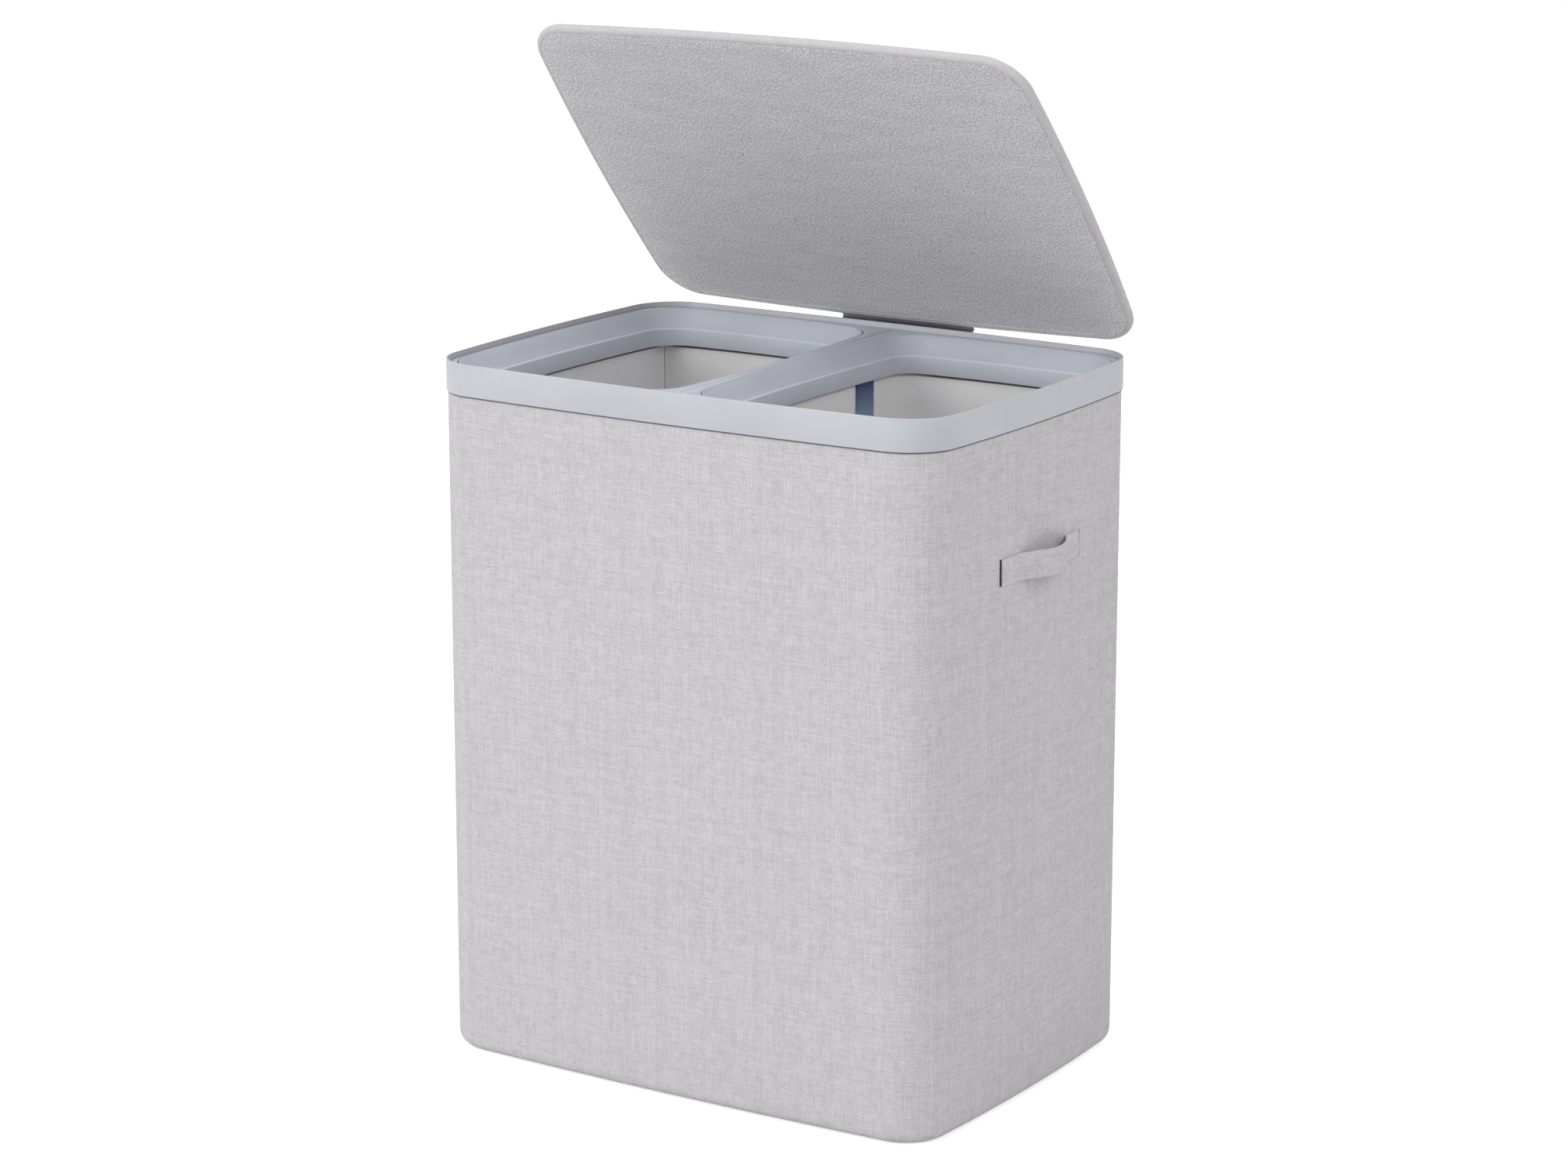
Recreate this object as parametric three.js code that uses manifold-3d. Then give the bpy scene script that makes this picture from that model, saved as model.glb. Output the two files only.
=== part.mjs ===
// Laundry hamper with two bins: a cloth-covered box with a moulded rim, two bins that drop into
// it, each a ring with a bag, and a hinged lid that stands half open.
// Millimetres. +X is right, the front faces -Y, +Z is up, the origin is the middle of the underside.
import * as THREE from 'three';
import { mergeVertices } from 'three/addons/utils/BufferGeometryUtils.js';
import Module from 'manifold-3d';

const wasm = await Module();
wasm.setup();

// Whole hamper
const rimWidth = 495.8;
const rimDepth = 357.8;
const rimHeight = 600;
const rimCorner = 42.3;
const frontBow = 7.1;
const sideBow = 8.2;
const fitGap = 0.3;
const cutOverrun = 2;

// Facets of the round stretches
const cornerSteps = 5;
const halfSideSteps = 3;
const edgeSteps = 3;
const barrelSides = 12;
const strapSteps = 16;
const loopSteps = 12;

// Cloth cover, wall boards, lining and base tray
const coverSetback = 1.35;
const coverCloth = 1.2;
const footRound = 12.3;
const boardThickness = 2.5;
const liningCloth = 0.8;
const trayFloor = 2.5;
const trayWall = 2;
const trayShoulder = 22;
const trayHeight = 40;
const trayFillet = 6;

// Rim band
const bandHeight = 26.75;
const bandEdge = 0.5;
const lipTopWidth = 1.5;
const lipFootWidth = 3.6;
const recessDepth = 4.5;
const webThickness = 2.5;
const channelWall = 1.5;
const channelDepth = 11;

// Bin seats, the two halves of the deck
const deckThickness = 6.6;
const seatStep = 3;
const ringGap = 0.6;
const beamWidth = 2.85;
const beamDepth = 19;

// Bin rings
const dividerHalf = 4.8;
const ringSideMargin = 5.3;
const ringEndMargin = 9.4;
const ringOuterCorner = 46;
const ringDividerCorner = 35;
const ringEndBow = 7.5;
const ringSideBow = 8.8;
const ringFlat = 1;
const ringEdge = 0.4;
const flangeDepth = 2.7;
const slopeRun = 10;
const slopeDrop = 16;
const stepEdge = 0.7;
const collarDraft = 0.5;
const collarDepth = 15.5;
const ringWall = 1.6;

// Bags, their hoops, base boards and carry straps
const hoopWall = 1.8;
const hoopLift = 2;
const bagCloth = 1.2;
const bagHemHeight = 16.5;
const bagNeckDrop = 14;
const bagSetback = 10;
const bagOuterCorner = 5;
const bagDividerCorner = 5;
const bagClearance = 6;
const bagFootBevel = 2.5;
const bagBoard = 2.5;
const bagBoardMargin = 0.6;
const strapWidth = 28;
const strapCloth = 1.2;
const strapPlace = 97;
const strapDrop = 150;
const strapClearance = 0.6;

// Side handles
const handleHeight = 458.9;
const handleWidth = 22.4;
const handleReach = 62.8;
const handleThickness = 1.8;
const handleStandoff = 14.3;
const archHalf = 39;
const archPeak = 2;
const frontRamp = 1.5;
const rearRamp = 1;
const handleTab = 18;
const slitSpare = 1.4;

// Hinge
const hingeBehindRim = 6.3;
const hingeBelowTop = 14.4;
const hingeWidth = 132;
const pinRadius = 1.5;
const pinClearance = 0.35;
const barrelWall = 1.55;
const knuckleCount = 5;
const plateThickness = 1.4;
const plateDrop = 9;
const leafThickness = 1.2;
const leafReach = 46;
const leafTurn = 19.2;
const tabCloth = 0.6;
const tabFoot = 5;
const lidOpening = 49.7;

// Screws
const screwRadius = 1.2;
const screwHeadRadius = 2.1;
const screwHeadHeight = 1;
const bracketScrewLength = 4.2;
const leafScrewLength = 3.4;
const bracketScrewInset = 13;
const leafScrewInset = 16;
const screwShares = [-1, -1 / 3, 1 / 3, 1];

// Lid
const lidMargin = 4.3;
const lidThickness = 8.2;
const lidRest = 0.5;
const lidCloth = 0.8;
const lidBoardThickness = 2.9;
const lidBoardMargin = 3.2;
const seamInset = 5;

// Colours of the finishes
const clothGrey = 0xcbc9cc;
const plasticGrey = 0xbfc3cc;
const undersideGrey = 0xa9a8ab;
const liningGrey = 0xc9c8c5;
const strapNavy = 0x33497d;
const steelGrey = 0x8d9095;
const boardBrown = 0x9c8a70;
const foamWhite = 0xe6e4de;

// Heights and setbacks that follow from the sizes above
const rimHalfX = rimWidth / 2;
const rimHalfY = rimDepth / 2;
const deckTop = rimHeight - recessDepth;
const deckBottom = deckTop - deckThickness;
const webTop = deckBottom - fitGap;
const webBottom = webTop - webThickness;
const wallTop = webBottom - fitGap;
const bandBottom = rimHeight - bandHeight;
const boardOuter = coverSetback + coverCloth + fitGap;
const boardInner = boardOuter + boardThickness;
const liningOuter = boardInner + fitGap;
const liningInner = liningOuter + liningCloth;
const channelOuter = liningInner + fitGap;
const channelInner = channelOuter + channelWall;
const hingeY = rimHalfY + hingeBehindRim;
const hingeZ = rimHeight - hingeBelowTop;
const lidBottom = deckTop + lidRest;
const barrelRadius = pinRadius + pinClearance + barrelWall;

// Shapes: a mesh from points and faces, always with its faces pointing out
function meshFrom(points, faces) {
  const volume = faces.reduce((sum, [a, b, c]) => {
    const [p, q, r] = [points[a], points[b], points[c]].map((v) => new THREE.Vector3(...v));
    return sum + p.dot(q.cross(r));
  }, 0);
  const outward = volume < 0 ? faces.map(([a, b, c]) => [a, c, b]) : faces;
  const geometry = new THREE.BufferGeometry();
  geometry.setAttribute('position', new THREE.Float32BufferAttribute(points.flat(), 3));
  geometry.setIndex(outward.flat());
  return geometry;
}

// Joins rings of points: in a loop where joined is true, else with both ends closed by flat fans
function loft(rings, joined) {
  const count = rings[0].length;
  const points = rings.flat();
  const faces = [];
  const bands = joined ? rings.length : rings.length - 1;
  for (let i = 0; i < bands; i += 1) {
    const near = i * count;
    const far = ((i + 1) % rings.length) * count;
    for (let j = 0; j < count; j += 1) {
      const k = (j + 1) % count;
      faces.push([near + j, near + k, far + k], [near + j, far + k, far + j]);
    }
  }
  if (!joined) {
    for (const [ring, start, first] of [[rings[0], 0, true], [rings.at(-1), points.length - count, false]]) {
      const middle = points.length;
      const sums = ring.reduce((sum, p) => sum.map((v, axis) => v + p[axis]), [0, 0, 0]);
      points.push(sums.map((v) => v / count));
      for (let j = 0; j < count; j += 1) {
        const k = (j + 1) % count;
        faces.push(first ? [start + k, start + j, middle] : [start + j, start + k, middle]);
      }
    }
  }
  return meshFrom(points, faces);
}

function solidFrom(geometry) {
  const bare = geometry.clone();
  bare.deleteAttribute('normal');
  bare.deleteAttribute('uv');
  const merged = mergeVertices(bare);
  return new wasm.Manifold(new wasm.Mesh({
    numProp: 3,
    vertProperties: new Float32Array(merged.attributes.position.array),
    triVerts: new Uint32Array(merged.index.array),
  }));
}

function geometryFrom(solid) {
  const mesh = solid.getMesh();
  const geometry = new THREE.BufferGeometry();
  geometry.setAttribute('position', new THREE.BufferAttribute(new Float32Array(mesh.vertProperties), 3));
  geometry.setIndex(new THREE.BufferAttribute(new Uint32Array(mesh.triVerts), 1));
  return geometry;
}

const joinAll = (shapes) => shapes.reduce((sum, shape) => sum.add(shape));
const cutAll = (solid, tools) => tools.reduce((rest, tool) => rest.subtract(tool), solid);

function box([x0, x1], [y0, y1], [z0, z1]) {
  const geometry = new THREE.BoxGeometry(Math.abs(x1 - x0), Math.abs(y1 - y0), Math.abs(z1 - z0));
  geometry.translate((x0 + x1) / 2, (y0 + y1) / 2, (z0 + z1) / 2);
  return solidFrom(geometry);
}

// A round bar along an axis named x, y or z, from low to high along it
function bar(axis, radius, low, high, at) {
  const geometry = new THREE.CylinderGeometry(radius, radius, high - low, barrelSides);
  if (axis === 'x') geometry.rotateZ(-Math.PI / 2);
  if (axis === 'z') geometry.rotateX(Math.PI / 2);
  geometry.translate(...at.map((v, i) => ('xyz'[i] === axis ? (low + high) / 2 : v)));
  return solidFrom(geometry);
}

// A flat outline drawn in X and Y, drawn out along Z
function alongZ(outline, low, high) {
  const shape = new THREE.Shape(outline.map(([x, y]) => new THREE.Vector2(x, y)));
  const geometry = new THREE.ExtrudeGeometry(shape, { depth: high - low, bevelEnabled: false });
  geometry.translate(0, 0, low);
  return geometry;
}

// An outline drawn in Y and Z, drawn out along X
function alongX(outline, low, high) {
  const geometry = alongZ(outline, low, high);
  const axes = [[0, 1, 0], [0, 0, 1], [1, 0, 0]].map((v) => new THREE.Vector3(...v));
  return solidFrom(geometry.applyMatrix4(new THREE.Matrix4().makeBasis(...axes)));
}

// The plan shape of every ring: a rectangle with bowed sides and round corners, whose arcs keep
// their centres at any inset. The corners at +X and at -X have a radius each. It gives its points,
// counter-clockwise, for an inset and a height.
function bowedPlan(halfX, halfY, corners, endBow, flankBow, centreX = 0) {
  const endRadius = (halfX ** 2 + endBow ** 2) / (2 * endBow);
  const flankRadius = (halfY ** 2 + flankBow ** 2) / (2 * flankBow);
  const endY = halfY - endRadius;
  const flankX = halfX - flankRadius;
  const span = Math.hypot(flankX, endY);
  const [ux, uy] = [flankX / span, -endY / span];
  const arc = (x, y, radius, from, to, steps) => Array.from({ length: steps }, (_, i) => {
    const turn = from + ((to - from) * i) / steps;
    return [x + radius * Math.cos(turn), y + radius * Math.sin(turn)];
  });
  const quarter = (corner, inset) => {
    const reach = endRadius - corner;
    const along = (reach ** 2 - (flankRadius - corner) ** 2 + span ** 2) / (2 * span);
    const across = Math.sqrt(reach ** 2 - along ** 2);
    const cornerX = along * ux + across * uy;
    const cornerY = endY + along * uy - across * ux;
    const flankTurn = Math.atan2(cornerY, cornerX - flankX);
    const endTurn = Math.atan2(cornerY - endY, cornerX);
    return [
      ...arc(flankX, 0, flankRadius - inset, 0, flankTurn, halfSideSteps),
      ...arc(cornerX, cornerY, corner - inset, flankTurn, endTurn, cornerSteps),
      ...arc(0, endY, endRadius - inset, endTurn, Math.PI / 2, halfSideSteps),
      [0, halfY - inset],
    ];
  };
  const ring = (inset, height) => {
    const [right, left] = corners.map((corner) => quarter(corner, inset));
    const back = [...right, ...left.slice(0, -1).reverse().map(([x, y]) => [-x, y])];
    const front = back.slice(1, -1).reverse().map(([x, y]) => [x, -y]);
    return [...back, ...front].map(([x, y]) => [x + centreX, y, height]);
  };
  const reachAt = (y, inset) => flankX + Math.sqrt((flankRadius - inset) ** 2 - y ** 2);
  return { ring, reachAt };
}

const hoop = (plan, profile) => loft(profile.map(([inset, z]) => plan.ring(inset, z)), true);
const cup = (plan, profile) => loft(profile.map(([inset, z]) => plan.ring(inset, z)), false);
const slab = (plan, inset, low, high) => cup(plan, [[inset, low], [inset, high]]);

// A quarter round in a profile, from flat underneath to upright
function roundedFoot(setback, radius, base) {
  return Array.from({ length: edgeSteps + 1 }, (_, i) => {
    const turn = ((Math.PI / 2) * i) / edgeSteps;
    return [setback + radius * (1 - Math.sin(turn)), base + radius * (1 - Math.cos(turn))];
  });
}

const rimPlan = bowedPlan(rimHalfX, rimHalfY, [rimCorner, rimCorner], frontBow, sideBow);
const ringHalfX = (rimHalfX - ringSideMargin - dividerHalf) / 2;
const ringHalfY = rimHalfY - ringEndMargin;
const ringCentre = dividerHalf + ringHalfX;
const facing = (side, outer, inner) => (side > 0 ? [outer, inner] : [inner, outer]);
const ringPlanFor = (side) => bowedPlan(ringHalfX, ringHalfY,
  facing(side, ringOuterCorner, ringDividerCorner), ringEndBow, ringSideBow, side * ringCentre);
const bagPlanFor = (side) => bowedPlan(ringHalfX - bagSetback, ringHalfY - bagSetback,
  facing(side, bagOuterCorner, bagDividerCorner), ringEndBow, ringSideBow, side * ringCentre);

// Side handles: each end of the strap goes in through a slit and is turned back behind the lining
const handleLow = handleHeight - handleWidth / 2;
const handleHigh = handleHeight + handleWidth / 2;
const legInner = handleReach - handleThickness;
const tabFace = rimPlan.reachAt(handleReach, liningInner) - fitGap;

function handleSlit(side, end) {
  const across = [side * (tabFace - cutOverrun), side * (rimHalfX + cutOverrun)];
  const along = [end * (legInner - fitGap), end * (handleReach + slitSpare)];
  return box(across, along, [handleLow - fitGap, handleHigh + fitGap]);
}
const allSlits = [[1, 1], [1, -1], [-1, 1], [-1, -1]].map(([side, end]) => handleSlit(side, end));

function handleArch(y) {
  const away = Math.min(Math.abs(y - archPeak) / archHalf, 1);
  const ramp = y < archPeak ? frontRamp : rearRamp;
  return handleStandoff * Math.cos((away * Math.PI) / 2) ** ramp;
}

// The strap's outline from above: its outer face, a folded tab, its inner face, and the other tab
function handleStrap(side) {
  const shares = Array.from({ length: strapSteps + 1 }, (_, i) => (2 * i) / strapSteps - 1);
  const faceAt = (y) => rimPlan.reachAt(y, coverSetback) + fitGap + handleArch(y);
  const outer = shares.map((share) => share * handleReach).map((y) => [faceAt(y) + handleThickness, y]);
  const inner = shares.map((share) => share * legInner).map((y) => [faceAt(y), y]).reverse();
  const tab = (end) => [
    [tabFace - handleThickness, end * handleReach],
    [tabFace - handleThickness, end * (handleReach - handleTab)],
    [tabFace, end * (handleReach - handleTab)],
    [tabFace, end * legInner],
  ];
  const outline = [...outer, ...tab(1), ...inner, ...tab(-1).reverse()];
  return alongZ(outline.map(([x, y]) => [side * x, y]), handleLow, handleHigh);
}

// Cover, boards, lining and tray
function outerCover() {
  const outside = roundedFoot(coverSetback, footRound, 0);
  const inside = roundedFoot(coverSetback + coverCloth, footRound - coverCloth, coverCloth).reverse();
  const rims = [[coverSetback, wallTop], [coverSetback + coverCloth, wallTop]];
  return geometryFrom(cutAll(solidFrom(cup(rimPlan, [...outside, ...rims, ...inside])), allSlits));
}

function wallBoard(end) {
  const low = trayShoulder + fitGap;
  const tube = solidFrom(hoop(rimPlan, [
    [boardOuter, low], [boardOuter, wallTop], [boardInner, wallTop], [boardInner, low]]));
  const half = box([-rimHalfX, rimHalfX], [end * fitGap, end * rimHalfY], [0, rimHeight]);
  return geometryFrom(cutAll(tube.intersect(half), allSlits));
}

function innerLining() {
  const low = trayHeight + fitGap;
  const tube = hoop(rimPlan, [
    [liningOuter, low], [liningOuter, wallTop], [liningInner, wallTop], [liningInner, low]]);
  return geometryFrom(cutAll(solidFrom(tube), allSlits));
}

function baseTray() {
  const lift = coverCloth + fitGap;
  const inner = liningOuter + trayWall;
  return cup(rimPlan, [
    ...roundedFoot(boardOuter, footRound - lift, lift),
    [boardOuter, trayShoulder],
    [liningOuter, trayShoulder],
    [liningOuter, trayHeight],
    [inner, trayHeight],
    [inner, lift + trayFloor + trayFillet],
    [inner + trayFillet, lift + trayFloor],
  ]);
}

// Rim band: a lip, a web that the deck rests on, and a channel over the top of the walls
const screwZ = (webTop + deckTop) / 2;
const bracketScrewSpread = hingeWidth / 2 - bracketScrewInset;
const bracketScrewPlaces = screwShares.map((share) => share * bracketScrewSpread);
const bracketFace = rimHalfY + fitGap;
const screwStart = bracketFace + plateThickness + fitGap;

function rimBand() {
  const wall = coverSetback - fitGap;
  const channelBottom = webBottom - channelDepth;
  const band = hoop(rimPlan, [
    [bandEdge, bandBottom],
    [0, bandBottom + bandEdge],
    [0, rimHeight - bandEdge],
    [bandEdge, rimHeight],
    [lipTopWidth, rimHeight],
    [lipFootWidth, deckTop],
    [lipFootWidth, webTop],
    [channelInner, webTop],
    [channelInner, channelBottom],
    [channelOuter, channelBottom],
    [channelOuter, webBottom],
    [wall, webBottom],
    [wall, bandBottom],
  ]);
  const deep = screwStart - bracketScrewLength - fitGap;
  const holes = bracketScrewPlaces.map((x) => bar(
    'y', screwRadius + fitGap, deep, rimHalfY + cutOverrun, [x, 0, screwZ]));
  return geometryFrom(cutAll(solidFrom(band), holes));
}

// Bin rings: a flange in the seat, a funnel slope and an upright collar
const slopeRate = slopeDrop / slopeRun;
const slopeSkin = ringWall * Math.hypot(1, slopeRate);
const underSlope = (inset) => deckTop - slopeRate * (inset - ringFlat) - slopeSkin;
const slopeInsetAt = (z) => ringFlat + (deckTop - slopeSkin - z) / slopeRate;
const slopeFoot = deckTop - slopeDrop;
const collarInner = ringFlat + slopeRun + stepEdge;
const collarBottom = slopeFoot - collarDepth;
const collarOuter = collarInner - ringWall;

function binRing(side) {
  const flangeBottom = deckTop - flangeDepth;
  return hoop(ringPlanFor(side), [
    [0, flangeBottom],
    [0, deckTop - ringEdge],
    [ringEdge, deckTop],
    [ringFlat, deckTop],
    [ringFlat + slopeRun, slopeFoot],
    [collarInner, slopeFoot - stepEdge],
    [collarInner + collarDraft, collarBottom],
    [collarOuter + collarDraft, collarBottom],
    [collarOuter, underSlope(collarOuter)],
    [slopeInsetAt(flangeBottom), flangeBottom],
  ]);
}

// Bin seats: the deck round one ring, with a ledge and a slope that carry it, and half the divider
function binSeat(side) {
  const plan = ringPlanFor(side);
  const ledge = deckTop - seatStep;
  const plate = solidFrom(slab(rimPlan, lipFootWidth + fitGap, deckBottom, deckTop));
  const half = box([side * fitGap / 2, side * rimHalfX], [-rimHalfY, rimHalfY], [0, rimHeight]);
  const well = solidFrom(slab(plan, -ringGap, ledge, deckTop + cutOverrun));
  const slack = fitGap * Math.hypot(1, slopeRate);
  const funnelAt = (z) => [slopeInsetAt(z + slack), z];
  const funnel = solidFrom(cup(plan, [funnelAt(deckBottom - cutOverrun), funnelAt(ledge + fitGap)]));
  const beamEnd = rimHalfY - channelInner - fitGap;
  const beam = box([side * fitGap / 2, side * (fitGap / 2 + beamWidth)], [-beamEnd, beamEnd],
    [deckBottom - beamDepth, deckBottom + fitGap]);
  return geometryFrom(joinAll([plate.intersect(half).subtract(well).subtract(funnel), beam]));
}

// Bags: the hem hangs on a hoop behind the collar, below it the walls form a square-cornered box,
// and a bottom panel closes them
const hoopInner = collarOuter - fitGap;
const hoopOuter = hoopInner - hoopWall;
const hemInner = hoopOuter - fitGap;
const hemOuter = hemInner - bagCloth;
const hoopBottom = collarBottom + hoopLift;
const bagBottom = coverCloth + fitGap + trayFloor + bagClearance;
const hemTop = hoopBottom + bagHemHeight - hoopLift * 2;
const hemFoot = collarBottom - hoopLift;
const neckFoot = hemFoot - bagNeckDrop;

function hemHoop(side) {
  const top = underSlope(hoopInner) - fitGap;
  return hoop(ringPlanFor(side), [
    [hoopOuter, hoopBottom], [hoopOuter, top], [hoopInner, top], [hoopInner, hoopBottom]]);
}

function bag(side) {
  const hem = ringPlanFor(side);
  const body = bagPlanFor(side);
  return loft([
    body.ring(bagFootBevel, bagBottom),
    body.ring(0, bagBottom + bagFootBevel),
    body.ring(0, neckFoot),
    hem.ring(hemOuter, hemFoot),
    hem.ring(hemOuter, hemTop),
    hem.ring(hemInner, hemTop),
    hem.ring(hemInner, hemFoot),
    body.ring(bagCloth, neckFoot),
    body.ring(bagCloth, bagBottom + bagFootBevel),
    body.ring(bagCloth + bagFootBevel, bagBottom),
  ], true);
}

function bagBottomPanel(side) {
  const inset = bagCloth + bagFootBevel + fitGap;
  return slab(bagPlanFor(side), inset, bagBottom, bagBottom + bagCloth);
}

function bagBaseBoard(side) {
  const low = bagBottom + bagCloth + fitGap;
  return slab(bagPlanFor(side), bagCloth + bagFootBevel + bagBoardMargin, low, low + bagBoard);
}

// The strap is sewn on below the collar, follows the neck of the bag, and hangs down as a loop
function carryStrap(side) {
  const turnZ = neckFoot - strapDrop;
  const wide = strapPlace + strapWidth / 2;
  const narrow = strapPlace - strapWidth / 2;
  const hemX = ringCentre - ringPlanFor(side).reachAt(wide, hemInner) + strapClearance;
  const wallX = ringCentre - bagPlanFor(side).reachAt(wide, bagCloth) + strapClearance;
  const round = (radius, from, to) => Array.from({ length: loopSteps + 1 }, (_, i) => {
    const turn = from + ((to - from) * i) / loopSteps;
    return [radius * Math.cos(turn), turnZ + radius * Math.sin(turn)];
  });
  const outline = [
    [wide, neckFoot], [narrow, neckFoot],
    ...round(narrow, 0, -Math.PI),
    [-narrow, neckFoot], [-wide, neckFoot],
    ...round(wide, -Math.PI, 0),
  ];
  const faces = [side * wallX, side * (wallX + strapCloth)].sort((a, b) => a - b);
  const loop = alongX(outline, ...faces);
  const legs = [1, -1].map((end) => {
    const heights = [collarBottom - fitGap, hemFoot, neckFoot, neckFoot - strapCloth];
    const fronts = [hemX, hemX, wallX, wallX];
    const section = [
      ...heights.map((z, i) => [side * fronts[i], z]),
      ...heights.map((z, i) => [side * (fronts[i] + strapCloth), z]).reverse(),
    ];
    const sides = [end * narrow, end * wide];
    return solidFrom(loft(sides.map((y) => section.map(([x, z]) => [x, y, z])), false));
  });
  return geometryFrom(joinAll([loop, ...legs]));
}

// Hinge: a bracket on the back of the rim, a pin, and a leaf that arches over the lip to the lid
const knuckleStep = (hingeWidth + fitGap) / knuckleCount;
const knuckleSpans = Array.from({ length: knuckleCount }, (_, i) => {
  const low = i * knuckleStep - hingeWidth / 2;
  return [low, low + knuckleStep - fitGap];
});
const bracketKnuckles = knuckleSpans.filter((_, i) => i % 2 === 0);
const leafKnuckles = knuckleSpans.filter((_, i) => i % 2 === 1);
const hingeAxis = [0, hingeY, hingeZ];
const pinBore = bar('x', pinRadius + pinClearance, -hingeWidth, hingeWidth, hingeAxis);
const barrel = ([low, high]) => bar('x', barrelRadius, low, high, hingeAxis);
const plateTop = screwZ + screwHeadRadius + fitGap * 3;

function hingeBracket() {
  const width = [-hingeWidth / 2, hingeWidth / 2];
  const plate = box(width, [bracketFace, bracketFace + plateThickness], [hingeZ - plateDrop, plateTop]);
  const arms = bracketKnuckles.map((span) => box(
    span, [bracketFace, hingeY], [hingeZ - barrelRadius, hingeZ - pinRadius - pinClearance - fitGap]));
  const holes = bracketScrewPlaces.map((x) => bar(
    'y', screwRadius + fitGap, rimHalfY - cutOverrun, hingeY, [x, 0, screwZ]));
  const body = joinAll([plate, ...arms, ...bracketKnuckles.map(barrel)]);
  return geometryFrom(cutAll(body, [pinBore, ...holes]));
}

const hingePin = () => geometryFrom(bar('x', pinRadius, -hingeWidth / 2, hingeWidth / 2, hingeAxis));

// A screw whose head lies on a face, turned to drive in along -Y where turned is true
function screw(length, turned, at) {
  const shank = bar('z', screwRadius, -length, screwHeadHeight / 2, [0, 0, 0]);
  const head = bar('z', screwHeadRadius, 0, screwHeadHeight, [0, 0, 0]);
  const geometry = geometryFrom(shank.add(head));
  if (turned) geometry.rotateX(-Math.PI / 2);
  geometry.translate(...at);
  return geometry;
}

// Lid, drawn closed: underside cloth, board, padding and a cover that wraps a full round edge
const lidCore = lidBottom + lidCloth + fitGap;
const leafLow = lidCore + lidBoardThickness + fitGap;
const leafFace = leafLow + leafThickness + fitGap;
const padTop = lidBottom + lidThickness - lidCloth - fitGap;
const leafMiddle = leafLow + leafThickness / 2 - hingeZ;
const leafStart = Math.PI - Math.asin(leafMiddle / leafTurn);
const leafInnerEnd = hingeY - Math.sqrt(leafTurn ** 2 - leafMiddle ** 2) - leafReach;
const leafScrewSpread = hingeWidth / 2 - leafScrewInset;
const leafScrewPlaces = screwShares.map((share) => share * leafScrewSpread);
const leafScrewY = leafInnerEnd + leafReach / 3;

// A strip of the arch over the lip, between two radii about the hinge axis, and down to a foot
function archOutline(inner, outer, startTurn, foot) {
  const sweep = (radius) => Array.from({ length: edgeSteps + 1 }, (_, i) => {
    const turn = startTurn + ((Math.PI / 2 - startTurn) * i) / edgeSteps;
    const across = Math.min(radius * Math.cos(turn), inner - leafTurn);
    return [hingeY + (i === edgeSteps ? radius - leafTurn : across), hingeZ + radius * Math.sin(turn)];
  });
  return [
    ...sweep(outer),
    [hingeY + outer - leafTurn, hingeZ + foot],
    [hingeY + inner - leafTurn, hingeZ + foot],
    ...sweep(inner).reverse(),
  ];
}

function hingeLeaf() {
  const half = leafThickness / 2;
  const clearFoot = barrelRadius + fitGap * 3;
  const arch = archOutline(leafTurn - half, leafTurn + half, leafStart, clearFoot);
  const width = [-hingeWidth / 2, hingeWidth / 2];
  const startY = hingeY + (leafTurn + half) * Math.cos(leafStart) + half;
  const plate = box(width, [leafInnerEnd, startY], [leafLow, leafLow + leafThickness]);
  const rootLow = hingeZ + pinRadius + pinClearance + fitGap;
  const rootSpan = [rootLow, hingeZ + clearFoot * 2];
  const roots = leafKnuckles.map((span) => box(span, [hingeY - half, hingeY + half], rootSpan));
  const holes = leafScrewPlaces.map((x) => bar(
    'z', screwRadius + fitGap, lidCore, leafFace, [x, leafScrewY, 0]));
  const body = joinAll([alongX(arch, ...width), plate, ...roots, ...leafKnuckles.map(barrel)]);
  return geometryFrom(cutAll(body, [pinBore, ...holes]));
}

function hingeTabCloth() {
  const outer = leafTurn - leafThickness / 2 - fitGap;
  const outline = archOutline(outer - tabCloth, outer, leafStart, tabFoot);
  return geometryFrom(alongX(outline, -hingeWidth / 2, hingeWidth / 2));
}

function lidRound(setback, radius, middle) {
  return Array.from({ length: edgeSteps * 2 + 1 }, (_, i) => {
    const turn = (Math.PI * i) / (edgeSteps * 2);
    return [setback + radius * (1 - Math.sin(turn)), middle - radius * Math.cos(turn)];
  });
}

function lidCover() {
  const outerRadius = lidThickness / 2;
  const middle = lidBottom + outerRadius;
  const flange = lidMargin + seamInset;
  const outside = lidRound(lidMargin, outerRadius, middle);
  const inside = lidRound(lidMargin + lidCloth, outerRadius - lidCloth, middle);
  const top = [lidMargin + lidThickness, lidBottom + lidThickness];
  const shell = cup(rimPlan, [[flange, lidBottom], ...outside, top]);
  const hollow = cup(rimPlan, [
    [flange, lidBottom - cutOverrun], [flange, lidBottom + lidCloth], ...inside]);
  const slot = box([-hingeWidth / 2 - fitGap, hingeWidth / 2 + fitGap], [leafInnerEnd, hingeY],
    [leafLow - fitGap - tabCloth, leafFace + leafThickness]);
  return geometryFrom(solidFrom(shell).subtract(solidFrom(hollow)).subtract(slot));
}

const lidUnderside = () => slab(rimPlan, lidMargin + seamInset + fitGap, lidBottom, lidBottom + lidCloth);

function lidBoard() {
  const board = solidFrom(slab(rimPlan, lidMargin + lidBoardMargin, lidCore, lidCore + lidBoardThickness));
  const holes = leafScrewPlaces.map((x) => bar(
    'z', screwRadius + fitGap, leafFace - leafScrewLength - fitGap, leafFace, [x, leafScrewY, 0]));
  return geometryFrom(cutAll(board, holes));
}

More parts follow.
